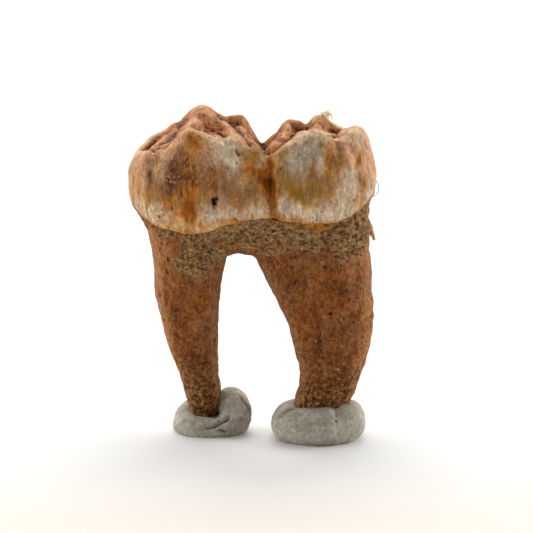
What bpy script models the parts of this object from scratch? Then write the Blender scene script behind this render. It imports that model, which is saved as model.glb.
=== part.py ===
"""A fossil cave bear molar that stands on its two roots, each pressed into a lump of grey putty.

Units are metres, with +Z up. X runs along the crown, from its front end at -X to its rear end at +X, and the
cheek side faces -Y. The origin is on the surface under the putty, below the middle of the crown. The measures
in the tables are millimetres, and MM turns them into metres where a mesh is made.
"""

import bmesh
import bpy
import numpy as np
from mathutils import Matrix

MM = 0.001

# Grids on which the bodies of a piece are fused, and the triangles that each piece is then thinned to.
MOLAR_GRID = 0.34
MOLAR_TRIANGLES = 7100
PUTTY_GRID = 0.3
PUTTY_TRIANGLES = 640

RING_POINTS = 48
STEPS_PER_SECTION = 4
STEPS_PER_RIDGE_POINT = 3

# The putty keeps this gap to the root that stands in it.
SOCKET_GAP = 0.3

# Level cross-sections: height, left end, right end, front and back.
LEFT_ROOT = (
    (27.0, -12.9, -2.2, -6.9, 6.6),
    (24.0, -12.5, -2.6, -6.7, 6.5),
    (22.0, -12.3, -3.2, -6.4, 6.5),
    (18.5, -12.2, -3.75, -5.7, 6.5),
    (14.5, -11.5, -4.05, -4.4, 6.4),
    (11.0, -10.5, -4.1, -3.0, 6.2),
    (7.5, -9.2, -4.1, -1.4, 6.0),
    (4.5, -8.4, -4.0, 0.1, 5.7),
    (2.6, -8.0, -4.3, 0.9, 5.2),
    (1.4, -7.2, -5.0, 1.7, 4.4),
)
RIGHT_ROOT = (
    (27.0, 0.2, 14.5, -6.9, 6.6),
    (24.4, -0.9, 14.6, -6.9, 6.6),
    (22.3, 0.4, 14.8, -6.8, 6.5),
    (18.5, 2.25, 15.0, -6.7, 6.2),
    (14.9, 3.95, 15.15, -6.3, 5.8),
    (11.0, 5.05, 14.5, -5.6, 5.0),
    (7.2, 5.65, 13.2, -4.5, 4.2),
    (4.3, 5.1, 12.1, -3.5, 3.4),
    (2.8, 5.3, 11.4, -3.0, 2.9),
    (1.6, 6.2, 10.4, -2.1, 2.0),
)
TRUNK = (
    (30.0, -12.9, 14.3, -7.2, 7.0),
    (27.0, -12.9, 14.3, -7.1, 6.9),
    (25.2, -12.7, 14.3, -7.0, 6.8),
    (24.1, -12.4, 14.3, -6.7, 6.5),
    (23.6, -12.0, 14.0, -6.2, 6.0),
)
CROWN = (
    (36.0, -14.0, 14.3, -6.6, 6.5),
    (35.4, -14.8, 14.9, -7.7, 7.5),
    (34.6, -15.1, 15.1, -8.3, 8.05),
    (33.3, -15.1, 15.1, -8.6, 8.35),
    (31.5, -14.95, 14.85, -8.7, 8.4),
    (29.8, -14.6, 14.4, -8.5, 8.2),
    (28.3, -14.0, 14.2, -8.0, 7.7),
    (26.8, -13.0, 14.2, -7.4, 7.1),
    (25.8, -12.7, 14.1, -6.9, 6.7),
)
ROOT_POWER = 2.5
CROWN_POWER = 2.9

# The crown above this height is raised to its cusps, and the blank crown ends at this top.
RELIEF_BASE = 33.0
BLANK_TOP = 36.0
BASIN_HEIGHT = 35.2
CREASE_SHARPNESS = 6.0

# The outer wall leaves the crown's outline steeply and rises with the root of the distance, more at the ends.
OUTLINE_HALF_LENGTH = 15.3
OUTLINE_HALF_WIDTH = 8.7
WALL_RISE = 12.6
END_WALL_RISE = 5.0

# Folds of the chewing surface: the fall of the sides, then x, y, height and tip radius along the ridge.
FOLDS = (
    # Tallest cusp, at the tongue side of the front lobe, and the knob in front of it.
    (1.1, (-9.0, 4.5, 39.1, 1.2), (-7.8, 4.4, 40.3, 1.5), (-6.4, 4.2, 41.2, 1.7), (-5.2, 4.4, 40.8, 1.5),
     (-4.3, 4.7, 39.8, 1.1)),
    (1.15, (-7.0, 2.6, 39.9, 1.0), (-7.2, 1.2, 39.75, 1.0), (-7.7, 0.0, 39.1, 0.9), (-8.4, -1.2, 38.3, 0.7)),
    # Second cusp of the tongue side and the ridge that runs down from it.
    (1.6, (-3.2, 5.0, 39.75, 1.1), (-2.2, 5.1, 39.9, 1.1), (-1.3, 5.1, 39.7, 1.0), (-0.7, 5.2, 38.8, 0.8)),
    (1.5, (-0.4, 5.2, 37.8, 0.7), (0.4, 5.2, 36.9, 0.7), (1.5, 5.2, 36.4, 0.7)),
    (1.35, (-4.3, 2.9, 39.5, 0.8), (-3.6, 2.0, 39.4, 0.9), (-2.9, 0.9, 38.9, 0.9), (-2.3, -0.6, 38.3, 0.8),
     (-1.7, -2.0, 37.9, 0.7)),
    (1.4, (-1.6, 3.2, 38.6, 0.8), (-0.9, 1.6, 37.8, 0.8), (-0.2, 0.2, 37.2, 0.7)),
    # Front rim, which climbs back along the tongue side.
    (1.5, (-9.8, 4.7, 38.6, 0.9), (-10.8, 4.6, 38.1, 0.9), (-12.3, 3.9, 37.5, 0.9), (-13.2, 2.2, 36.6, 0.9),
     (-13.6, -0.4, 36.2, 0.9), (-13.4, -2.8, 36.3, 0.9), (-12.6, -4.2, 36.5, 0.9)),
    (1.3, (-9.5, 2.8, 38.4, 0.8), (-10.3, 1.3, 37.9, 0.8), (-11.2, -0.1, 37.3, 0.8), (-11.9, -1.2, 36.8, 0.7)),
    (1.3, (-10.4, -2.6, 37.1, 0.6), (-11.3, -2.2, 36.9, 0.6), (-12.2, -2.4, 36.6, 0.6)),
    # Cheek side of the front lobe.
    (1.25, (-11.0, -4.9, 36.6, 0.9), (-9.9, -5.0, 37.2, 1.1), (-8.7, -5.1, 38.5, 1.2), (-7.6, -5.1, 39.25, 1.3),
     (-6.1, -5.1, 39.0, 1.3), (-4.9, -5.1, 38.45, 1.2), (-4.0, -5.1, 38.15, 1.1)),
    (1.5, (-3.4, -5.1, 38.2, 1.0), (-2.6, -5.0, 38.45, 1.0), (-1.8, -5.0, 38.3, 1.0), (-1.3, -4.8, 37.6, 0.8)),
    (1.2, (-7.9, -4.0, 38.8, 1.0), (-8.6, -2.8, 38.3, 0.8), (-9.4, -2.2, 37.7, 0.7)),
    (1.5, (-5.4, -3.6, 38.4, 0.6), (-4.6, -2.2, 38.2, 0.7), (-3.9, -1.0, 37.8, 0.6)),
    # Tubercle on the cheek side between the lobes.
    (1.5, (-0.9, -5.9, 37.1, 0.8), (0.0, -6.1, 37.1, 0.9), (0.8, -6.1, 36.8, 0.8), (1.4, -5.9, 36.3, 0.7)),
    # Cheek side of the rear lobe and the wrinkle behind its crest.
    (1.4, (2.7, -5.5, 36.3, 0.8), (3.5, -5.5, 37.1, 1.0), (4.4, -5.4, 37.4, 0.9)),
    (1.15, (5.0, -5.5, 37.9, 1.2), (6.1, -5.4, 38.7, 1.5), (7.5, -5.4, 39.1, 1.7), (8.9, -5.3, 38.85, 1.5),
     (10.1, -5.0, 38.2, 1.1)),
    (1.6, (6.2, -3.6, 38.6, 0.5), (7.0, -3.4, 39.0, 0.6), (8.0, -3.3, 39.05, 0.6), (8.9, -3.6, 38.7, 0.5)),
    # Rear lobe.
    (1.25, (10.7, -4.1, 38.1, 1.1), (11.6, -3.2, 38.75, 1.3), (12.4, -1.8, 39.1, 1.5), (12.8, 0.2, 38.9, 1.5),
     (12.6, 2.2, 38.5, 1.3), (11.5, 4.0, 38.3, 1.2)),
    (1.5, (9.5, -3.0, 38.3, 0.6), (10.0, -1.8, 38.1, 0.6), (10.3, -0.4, 37.8, 0.6)),
    # Tongue side of the rear lobe.
    (1.5, (2.9, 5.2, 37.6, 0.9), (3.7, 5.1, 38.8, 1.0), (4.6, 5.1, 39.25, 1.1), (5.5, 5.1, 39.1, 0.9)),
    (1.3, (6.9, 5.1, 38.8, 1.0), (7.7, 5.1, 39.7, 1.3), (8.5, 5.0, 39.85, 1.3), (9.7, 4.9, 39.2, 1.1),
     (10.8, 4.5, 38.5, 1.0)),
    (1.4, (4.5, 3.6, 38.7, 0.8), (4.0, 2.2, 38.0, 0.8), (3.4, 1.0, 37.5, 0.7), (3.0, 0.0, 37.0, 0.6)),
    (1.5, (6.5, 1.8, 38.4, 0.8), (6.1, 0.4, 38.3, 0.8), (5.2, -0.9, 37.7, 0.8), (4.2, -2.2, 36.9, 0.7)),
    (1.3, (8.2, 3.4, 38.8, 0.9), (8.5, 1.8, 38.1, 0.8), (8.2, 0.3, 37.5, 0.7), (7.2, -0.9, 37.3, 0.6)),
)

# Furrows: the width, then x, y, z and depth along the middle, which is below zero on a ridge.
FURROWS = (
    # Between the two lobes, on the cheek side and on the tongue side.
    (0.8, (2.1, -7.4, 37.0, 0.1), (2.2, -8.2, 35.4, 0.9), (2.1, -8.6, 33.4, 1.2), (2.1, -8.7, 31.5, 1.0),
     (2.5, -8.2, 29.2, 0.5), (2.6, -7.6, 27.6, 0.0)),
    (1.1, (1.7, 7.4, 37.4, 0.6), (1.6, 8.3, 34.5, 1.3), (1.6, 8.3, 31.5, 0.9), (1.6, 7.6, 28.0, 0.0)),
    # Wider hollow around the same groove.
    (2.2, (2.1, -8.0, 37.0, 0.1), (2.1, -8.6, 33.5, 0.6), (2.3, -8.3, 30.0, 0.3), (2.4, -7.4, 27.0, 0.1)),
    (2.4, (1.7, 7.8, 37.0, 0.3), (1.6, 8.3, 33.0, 0.5), (1.6, 7.8, 29.0, 0.0)),
    # Front and rear sides of the tubercle between the lobes.
    (0.6, (-1.4, -6.6, 37.6, 0.4), (-1.4, -7.9, 36.0, 0.5), (-1.2, -8.5, 34.0, 0.3), (-0.8, -8.7, 32.0, 0.0)),
    (0.8, (0.2, -7.6, 36.6, -0.1), (0.4, -8.4, 35.0, -0.35), (0.5, -8.7, 33.4, 0.0)),
    # Near the front corner of the cheek side.
    (0.8, (-11.6, -5.8, 36.4, 0.2), (-12.1, -7.6, 34.8, 0.55), (-12.3, -8.1, 32.5, 0.5), (-12.2, -8.0, 30.0, 0.2),
     (-12.0, -7.6, 28.4, 0.0)),
    # Between the rear lobe and the cusp before it.
    (0.7, (10.3, -4.9, 38.3, 0.4), (10.7, -6.4, 37.4, 0.7), (11.3, -7.5, 35.8, 0.5), (11.9, -8.0, 34.0, 0.0)),
    # Up from the fork of the roots, in front and behind.
    (2.4, (-0.8, -6.8, 22.5, 0.6), (-0.6, -7.1, 25.0, 0.8), (0.6, -7.4, 27.6, 0.2)),
    (2.4, (-0.8, 6.5, 22.5, 0.6), (-0.6, 6.9, 25.0, 0.8), (0.6, 7.2, 27.6, 0.2)),
    # Along the roots, in front, on the facing sides and on the outer sides.
    (1.3, (7.4, -6.9, 26.0, 0.0), (7.7, -6.8, 21.0, 0.3), (8.0, -6.3, 14.5, 0.4), (8.4, -5.2, 8.5, 0.2),
     (8.5, -4.0, 5.5, 0.0)),
    (1.8, (-3.2, 0.0, 23.0, 0.3), (-4.1, 0.4, 17.0, 0.8), (-4.4, 1.2, 11.0, 0.6), (-4.2, 2.4, 5.0, 0.2)),
    (1.9, (0.4, 0.0, 22.6, 0.3), (3.4, 0.0, 16.5, 0.9), (5.3, 0.0, 10.5, 0.7), (5.7, 0.0, 5.5, 0.2)),
    (1.8, (14.3, 0.2, 27.0, 0.0), (14.6, 0.1, 21.0, 0.5), (14.8, 0.0, 15.0, 0.5), (13.9, 0.0, 9.5, 0.1)),
    (1.8, (-12.9, 0.2, 27.0, 0.0), (-12.1, 0.4, 20.0, 0.5), (-11.4, 0.8, 15.0, 0.5), (-9.9, 1.8, 9.5, 0.1)),
    # Between the cusps of the tongue side.
    (0.8, (-3.9, 6.2, 39.0, 0.3), (-4.0, 7.6, 36.8, 0.6), (-4.0, 8.3, 34.0, 0.2), (-4.0, 8.4, 32.5, 0.0)),
    (0.8, (6.3, 6.2, 38.4, 0.3), (6.4, 7.6, 36.8, 0.6), (6.5, 8.3, 34.0, 0.2), (6.6, 8.4, 32.5, 0.0)),
)

# Lower edge of the enamel, as x and z, and how far the enamel stands out there.
ENAMEL_EDGE = (
    (-15.3, 30.8), (-13.7, 28.9), (-12.2, 27.7), (-9.6, 27.0), (-7.2, 26.7), (-5.2, 27.1), (-3.4, 27.9),
    (-1.6, 28.3), (0.8, 28.6), (2.6, 28.7), (4.4, 28.3), (6.2, 28.1), (8.0, 27.95), (10.1, 28.1), (11.9, 28.7),
    (13.1, 29.5), (15.2, 31.4),
)
ENAMEL_STEP = 0.28
ENAMEL_STEP_SPAN = 0.5
ENAMEL_STEP_FADE = 4.0

# Small bodies grown on the tooth: centre, half sizes and tilt about Y in degrees.
CRUMB = ((9.1, 5.0, 39.8), (0.85, 0.75, 0.7), 15.0)
FLAKE = ((14.55, -0.6, 26.3), (0.38, 0.8, 1.5), -9.0)

# Strands of putty: x, y, z and radius along the middle. A ring closes on itself.
LEFT_PUTTY_RING = (
    (-8.2, 2.6, 1.5, 2.2), (-7.7, 0.8, 1.3, 2.05), (-6.0, 0.0, 1.15, 1.95), (-4.2, 0.0, 1.1, 1.85),
    (-2.6, 1.0, 1.35, 2.05), (-2.4, 3.6, 1.7, 2.1), (-3.4, 5.6, 1.6, 2.0), (-5.8, 6.2, 1.6, 1.9), (-7.6, 4.9, 1.6, 2.0),
)
LEFT_PUTTY_LUMP = (
    (-2.1, 0.6, 1.7, 2.0), (-2.1, 1.5, 2.8, 2.1), (-2.4, 3.0, 3.5, 2.1), (-2.8, 4.6, 3.2, 2.0),
    (-3.2, 5.8, 2.2, 1.8),
)
RIGHT_PUTTY_RING = (
    (4.5, 0.0, 1.85, 2.2), (5.2, -2.9, 1.8, 2.35), (8.0, -3.9, 1.95, 2.5), (10.9, -3.0, 2.05, 2.4),
    (11.8, -0.2, 2.2, 2.4), (11.0, 2.6, 2.0, 2.2), (8.0, 3.5, 1.9, 2.1), (5.3, 2.5, 2.0, 2.1),
)
LEFT_PUTTY_BASE = ((-5.2, 3.1, 0.9), (4.2, 4.0, 1.1))
RIGHT_PUTTY_BASE = ((8.2, 0.0, 0.9), (5.0, 4.6, 1.1))

LEFT_PUTTY_FURROWS = (
    # Under the lump, where the front strand tucks in.
    (0.45, (-4.6, -0.9, 2.4, 0.3), (-3.8, -1.2, 2.1, 0.9), (-2.6, -1.2, 2.2, 0.3)),
    (0.4, (-6.4, -1.4, 0.9, 0.1), (-5.2, -1.4, 1.4, 0.35), (-4.1, -1.3, 1.9, 0.4)),
    # Between the two folds of the lump.
    (0.45, (-1.6, 1.8, 4.8, 0.1), (-0.8, 1.9, 3.9, 0.6), (-0.1, 2.0, 2.8, 0.6), (0.0, 2.4, 1.6, 0.2)),
)
RIGHT_PUTTY_FURROWS = (
    (0.55, (5.2, -1.9, 4.3, 0.3), (4.3, -2.4, 3.8, 0.9), (3.3, -2.7, 3.1, 0.6), (2.7, -2.6, 2.3, 0.0)),
    (0.5, (10.3, -3.6, 4.6, 0.4), (10.4, -4.6, 4.2, 0.35), (10.5, -5.2, 3.0, 0.0)),
)


def smooth_curve(points, steps, closed=False):
    """Points of a smooth curve through the given ones, whatever each of them lists."""
    points = np.array(points, float)
    if closed:
        padded = np.vstack([points[-1:], points, points[:2]])
    else:
        padded = np.vstack([2.0 * points[0] - points[1], points, 2.0 * points[-1] - points[-2]])
    share = np.arange(steps)[:, None] / steps
    made = []
    for before, start, end, after in zip(padded, padded[1:], padded[2:], padded[3:]):
        slope = end - before
        bend = 2.0 * before - 5.0 * start + 4.0 * end - after
        twist = 3.0 * (start - end) + after - before
        made.append(start + 0.5 * share * (slope + share * (bend + share * twist)))
    if not closed:
        made.append(points[-1:])
    return np.vstack(made)


def add_loft(mesh, sections, power):
    """Add a closed body through level sections, listed from the top down, with rounded corners."""
    turn = np.linspace(0.0, 2.0 * np.pi, RING_POINTS, endpoint=False)
    across = np.sign(np.cos(turn)) * np.abs(np.cos(turn)) ** (2.0 / power)
    along = np.sign(np.sin(turn)) * np.abs(np.sin(turn)) ** (2.0 / power)
    rings = []
    for height, left, right, front, back in smooth_curve(sections, STEPS_PER_SECTION):
        x = (left + right) / 2.0 + across * (right - left) / 2.0
        y = (front + back) / 2.0 + along * (back - front) / 2.0
        rings.append([mesh.verts.new((x[i] * MM, y[i] * MM, height * MM)) for i in range(RING_POINTS)])
    for upper, lower in zip(rings, rings[1:]):
        for i in range(RING_POINTS):
            j = (i + 1) % RING_POINTS
            mesh.faces.new((lower[i], lower[j], upper[j], upper[i]))
    mesh.faces.new(rings[0])
    mesh.faces.new(rings[-1][::-1])


def add_ellipsoid(mesh, centre, half_sizes, tilt=0.0):
    place = Matrix.Translation([v * MM for v in centre])
    turn = Matrix.Rotation(np.radians(tilt), 4, "Y")
    size = Matrix.Diagonal([v * MM for v in half_sizes] + [1.0])
    bmesh.ops.create_uvsphere(mesh, u_segments=24, v_segments=12, radius=1.0, matrix=place @ turn @ size)


def add_strand(mesh, points, closed):
    """Add a round strand of changing thickness, made from a bevelled curve."""
    route = smooth_curve(points, STEPS_PER_SECTION, closed)
    curve = bpy.data.curves.new("strand", "CURVE")
    curve.dimensions = "3D"
    curve.bevel_depth = MM
    curve.bevel_resolution = 5
    curve.use_fill_caps = not closed
    spline = curve.splines.new("POLY")
    spline.points.add(len(route) - 1)
    spline.use_cyclic_u = closed
    for point, (x, y, z, radius) in zip(spline.points, route):
        point.co = (x * MM, y * MM, z * MM, 1.0)
        point.radius = radius
    guide = bpy.data.objects.new("strand", curve)
    strand = bpy.data.meshes.new_from_object(guide)
    loose = bmesh.new()
    loose.from_mesh(strand)
    bmesh.ops.remove_doubles(loose, verts=loose.verts, dist=0.00001)
    loose.to_mesh(strand)
    loose.free()
    mesh.from_mesh(strand)
    bpy.data.meshes.remove(strand)
    bpy.data.objects.remove(guide)
    bpy.data.curves.remove(curve)


def distance_to_path(points, path):
    """Distance from each point to a chain of straight runs, and the place along it as a fractional index."""
    nearest = np.full(len(points), np.inf)
    place = np.zeros(len(points))
    for index, (start, end) in enumerate(zip(path, path[1:])):
        run = end - start
        share = np.clip((points - start) @ run / (run @ run), 0.0, 1.0)
        gap = np.linalg.norm(points - start - share[:, None] * run, axis=1)
        closer = gap < nearest
        nearest[closer] = gap[closer]
        place[closer] = index + share[closer]
    return nearest, place


def chewing_height(x, y):
    """Height of the chewing surface over each place of the crown."""
    plan = np.column_stack([x, y])
    total = np.ones(len(x))
    for fall, *points in FOLDS:
        ridge = smooth_curve(points, STEPS_PER_RIDGE_POINT)
        gap, place = distance_to_path(plan, ridge[:, :2])
        index = np.arange(len(ridge))
        top = np.interp(place, index, ridge[:, 2])
        tip = np.interp(place, index, ridge[:, 3])
        height = top - fall * (np.sqrt(gap ** 2 + tip ** 2) - tip)
        total += np.exp(CREASE_SHARPNESS * (height - BASIN_HEIGHT))
    return BASIN_HEIGHT + np.log(total) / CREASE_SHARPNESS


def wall_height(x, y):
    """Height that the outer wall of the crown allows at each place."""
    along = (np.abs(x) / OUTLINE_HALF_LENGTH) ** CROWN_POWER
    across = (np.abs(y) / OUTLINE_HALF_WIDTH) ** CROWN_POWER
    reach = np.clip((along + across) ** (1.0 / CROWN_POWER), 0.0, 1.0)
    endness = along / (along + across + 1e-9)
    return RELIEF_BASE + (WALL_RISE + END_WALL_RISE * endness) * np.sqrt(1.0 - reach)


def raise_cusps(points):
    """Stretch the top of the blank crown up to the chewing surface."""
    x, y, z = points.T
    top = np.minimum(chewing_height(x, y), wall_height(x, y))
    share = (z - RELIEF_BASE) / (BLANK_TOP - RELIEF_BASE)
    raised = np.where(share > 0.0, RELIEF_BASE + share * (top - RELIEF_BASE), z)
    return np.column_stack([x, y, raised])


def furrow_depth(points, furrows):
    """Depth of all furrows together at each point."""
    depth = np.zeros(len(points))
    for width, *route in furrows:
        path = smooth_curve(route, STEPS_PER_RIDGE_POINT)
        gap, place = distance_to_path(points, path[:, :3])
        deep = np.interp(place, np.arange(len(path)), path[:, 3])
        depth += deep * np.exp(-((gap / width) ** 2))
    return depth


def enamel_step(points):
    """How far the enamel stands out over the root at each point."""
    edge = np.array(ENAMEL_EDGE)
    over = points[:, 2] - np.interp(points[:, 0], edge[:, 0], edge[:, 1])
    rise = np.clip(over / ENAMEL_STEP_SPAN + 0.5, 0.0, 1.0)
    fade = np.clip(1.0 - over / ENAMEL_STEP_FADE, 0.0, 1.0)
    return ENAMEL_STEP * rise * fade


def mesh_points(mesh):
    points = np.empty(3 * len(mesh.vertices))
    mesh.vertices.foreach_get("co", points)
    return points.reshape(-1, 3) / MM


def mesh_normals(mesh):
    normals = np.empty(3 * len(mesh.vertices))
    mesh.vertex_normals.foreach_get("vector", normals)
    return normals.reshape(-1, 3)


def set_points(mesh, points):
    mesh.vertices.foreach_set("co", (points * MM).ravel())
    mesh.update()


def apply_modifiers(part):
    """Keep the shape that the modifiers make, and drop the modifiers."""
    depsgraph = bpy.context.evaluated_depsgraph_get()
    made = bpy.data.meshes.new_from_object(part.evaluated_get(depsgraph), depsgraph=depsgraph)
    old = part.data
    part.modifiers.clear()
    part.data = made
    bpy.data.meshes.remove(old)
    made.name = part.name


def fuse(part, grid, smoothing):
    """Make one skin of all the bodies in a part."""
    remesh = part.modifiers.new("Fuse", "REMESH")
    remesh.mode = "VOXEL"
    remesh.voxel_size = grid * MM
    smooth = part.modifiers.new("Soften", "SMOOTH")
    smooth.factor = 0.5
    smooth.iterations = smoothing
    apply_modifiers(part)


def thin(part, triangles):
    """Merge small triangles until the given number is left."""
    count = sum(len(face.vertices) - 2 for face in part.data.polygons)
    decimate = part.modifiers.new("Thin", "DECIMATE")
    decimate.ratio = triangles / count
    apply_modifiers(part)


def new_part(name, mesh, collection, material):
    data = bpy.data.meshes.new(name)
    mesh.to_mesh(data)
    mesh.free()
    data.materials.append(material)
    part = bpy.data.objects.new(name, data)
    collection.objects.link(part)
    return part


def new_cutter(name, mesh, collection):
    data = bpy.data.meshes.new(name)
    mesh.to_mesh(data)
    mesh.free()
    cutter = bpy.data.objects.new(name, data)
    cutter.hide_render = True
    cutter.display_type = "WIRE"
    collection.objects.link(cutter)
    return cutter


def plain_material(name, colour, roughness):
    material = bpy.data.materials.new(name)
    material.use_nodes = True
    shader = material.node_tree.nodes["Principled BSDF"]
    shader.inputs["Base Color"].default_value = (*colour, 1.0)
    shader.inputs["Roughness"].default_value = roughness
    shader.inputs["Metallic"].default_value = 0.0
    return material


def make_molar(collection, material):
    """The tooth as one piece: two roots, the trunk that joins them, and the crown with its cusps."""
    mesh = bmesh.new()
    add_loft(mesh, LEFT_ROOT, ROOT_POWER)
    add_loft(mesh, RIGHT_ROOT, ROOT_POWER)
    add_loft(mesh, TRUNK, CROWN_POWER)
    add_loft(mesh, CROWN, CROWN_POWER)
    molar = new_part("molar", mesh, collection, material)
    fuse(molar, MOLAR_GRID, 1)
    set_points(molar.data, raise_cusps(mesh_points(molar.data)))

    grown = bmesh.new()
    grown.from_mesh(molar.data)
    add_ellipsoid(grown, *CRUMB)
    add_ellipsoid(grown, *FLAKE)
    grown.to_mesh(molar.data)
    grown.free()
    fuse(molar, MOLAR_GRID, 2)

    points = mesh_points(molar.data)
    out = enamel_step(points) - furrow_depth(points, FURROWS)
    set_points(molar.data, points + mesh_normals(molar.data) * out[:, None])
    thin(molar, MOLAR_TRIANGLES)
    molar.data.shade_smooth()
    return molar


def grow(sections, gap):
    """The same sections, larger all round by the gap."""
    *upper, last = sections
    grown = [(height, left - gap, right + gap, front - gap, back + gap) for height, left, right, front, back in upper]
    height, left, right, front, back = last
    grown.append((height - gap, left, right, front, back))
    return grown


def cut(part, cutter):
    boolean = part.modifiers.new(cutter.name, "BOOLEAN")
    boolean.operation = "DIFFERENCE"
    boolean.solver = "EXACT"
    boolean.object = cutter


def make_putty(name, strands, base, furrows, root, collection, cutters, material):
    """A lump of putty: its strands fused on a flat base, with a socket for the root."""
    mesh = bmesh.new()
    for points, closed in strands:
        add_strand(mesh, points, closed)
    add_ellipsoid(mesh, *base)
    putty = new_part(name, mesh, collection, material)
    fuse(putty, PUTTY_GRID, 4)
    points = mesh_points(putty.data)
    depth = furrow_depth(points, furrows)
    set_points(putty.data, points - mesh_normals(putty.data) * depth[:, None])
    thin(putty, PUTTY_TRIANGLES)

    socket = bmesh.new()
    add_loft(socket, grow(root, SOCKET_GAP), ROOT_POWER)
    cut(putty, new_cutter(name + "_socket", socket, cutters))
    ground = bmesh.new()
    bmesh.ops.create_cube(ground, size=0.1, matrix=Matrix.Translation((0.0, 0.0, -0.05)))
    cut(putty, new_cutter(name + "_ground", ground, cutters))
    apply_modifiers(putty)
    putty.data.shade_smooth()
    return putty


def main():
    for item in list(bpy.data.objects):
        bpy.data.objects.remove(item)
    collection = bpy.data.collections.new("cave_bear_molar")
    cutters = bpy.data.collections.new("cutters")
    bpy.context.scene.collection.children.link(collection)
    bpy.context.scene.collection.children.link(cutters)

    make_molar(collection, plain_material("tooth", (0.45, 0.25, 0.13), 0.55))
    putty = plain_material("putty", (0.36, 0.36, 0.33), 0.8)
    make_putty(
        "putty_foot_left", ((LEFT_PUTTY_RING, True), (LEFT_PUTTY_LUMP, False)), LEFT_PUTTY_BASE,
        LEFT_PUTTY_FURROWS, LEFT_ROOT, collection, cutters, putty,
    )
    make_putty(
        "putty_foot_right", ((RIGHT_PUTTY_RING, True),), RIGHT_PUTTY_BASE,
        RIGHT_PUTTY_FURROWS, RIGHT_ROOT, collection, cutters, putty,
    )


main()
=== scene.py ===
"""The looks of a fossil cave bear molar that stands on its two roots in two lumps of grey putty.

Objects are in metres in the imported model's frame, with +Z up. The tables that give the form are in
millimetres, and MM turns them into metres where a mesh is made. X runs along the crown, from its front end at
-X to its rear end at +X, and the cheek side, which faces the camera, is at -Y.
"""

import bmesh
import bpy
import numpy as np
from mathutils import Matrix, Vector


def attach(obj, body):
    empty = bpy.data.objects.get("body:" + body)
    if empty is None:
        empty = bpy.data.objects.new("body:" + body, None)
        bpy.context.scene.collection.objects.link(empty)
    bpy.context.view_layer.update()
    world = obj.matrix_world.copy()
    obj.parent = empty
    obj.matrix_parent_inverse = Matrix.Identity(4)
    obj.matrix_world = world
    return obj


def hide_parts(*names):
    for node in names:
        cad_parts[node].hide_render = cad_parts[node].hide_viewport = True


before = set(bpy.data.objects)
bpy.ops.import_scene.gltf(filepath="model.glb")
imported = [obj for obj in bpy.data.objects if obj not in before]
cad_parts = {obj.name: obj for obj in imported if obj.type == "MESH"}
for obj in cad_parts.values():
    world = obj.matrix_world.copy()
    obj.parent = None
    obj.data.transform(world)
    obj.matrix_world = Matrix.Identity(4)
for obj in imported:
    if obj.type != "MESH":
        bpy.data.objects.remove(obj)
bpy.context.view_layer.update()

MM = 0.001

# Grids on which the bodies of a piece are fused, and the triangles that each piece is then thinned to.
BLANK_GRID = 0.24
MOLAR_GRID = 0.155
MOLAR_TRIANGLES = 196000
PUTTY_GRID = 0.13
PUTTY_TRIANGLES = 60000

RING_POINTS = 96
STEPS_PER_SECTION = 5
STEPS_PER_RIDGE_POINT = 4

# Level cross-sections: height, left end, right end, front and back.
LEFT_ROOT = (
    (27, -12.9, -2.2, -6.9, 6.6), (24, -12.5, -2.6, -6.7, 6.5), (22, -12.3, -3.2, -6.4, 6.5),
    (18.5, -12.2, -3.75, -5.7, 6.5), (14.5, -11.5, -4.05, -4.4, 6.4), (11, -10.5, -4.1, -3, 6.2),
    (7.5, -9.2, -4.1, -1.4, 6), (4.5, -8.4, -4, 0.1, 5.7), (2.6, -8, -4.3, 0.9, 5.2),
    (1.4, -7.2, -5, 1.7, 4.4),
)
RIGHT_ROOT = (
    (27, 0.2, 14.5, -6.9, 6.6), (24.4, -0.9, 14.6, -6.9, 6.6), (22.3, 0.4, 14.8, -6.8, 6.5),
    (18.5, 2.25, 15, -6.7, 6.2), (14.9, 3.95, 15.15, -6.3, 5.8), (11, 5.05, 14.5, -5.6, 5),
    (7.2, 5.65, 13.2, -4.5, 4.2), (4.3, 5.1, 12.1, -3.5, 3.4), (2.8, 5.3, 11.4, -3, 2.9),
    (1.6, 6.2, 10.4, -2.1, 2),
)
TRUNK = (
    (30, -12.9, 14.3, -7.2, 7), (27, -12.9, 14.3, -7.1, 6.9), (25.2, -12.7, 14.3, -7, 6.8),
    (24.1, -12.4, 14.3, -6.7, 6.5), (23.6, -12, 14, -6.2, 6),
)
CROWN = (
    (36, -14, 14.3, -6.6, 6.5), (35.4, -14.8, 14.9, -7.7, 7.5), (34.6, -15.1, 15.1, -8.3, 8.05),
    (33.3, -15.1, 15.1, -8.6, 8.35), (31.5, -14.95, 14.85, -8.7, 8.4), (29.8, -14.6, 14.4, -8.5, 8.2),
    (28.3, -14, 14.2, -8, 7.7), (26.8, -13, 14.2, -7.4, 7.1), (25.8, -12.7, 14.1, -6.9, 6.7),
)
ROOT_POWER = 2.5
CROWN_POWER = 2.9

# The crown above this height is raised to its cusps, and the blank crown ends at this top.
RELIEF_BASE = 33
BLANK_TOP = 36
BASIN_HEIGHT = 35.2
CREASE_SHARPNESS = 8

# The outer wall leaves the crown's outline steeply and rises with the root of the distance, more at the ends.
OUTLINE_HALF_LENGTH = 15.3
OUTLINE_HALF_WIDTH = 8.7
WALL_RISE = 12.6
END_WALL_RISE = 5

# Half sizes of the ring of crests round the chewing surface.
CREST_HALF_LENGTH = 13.4
CREST_HALF_WIDTH = 5.3

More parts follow.
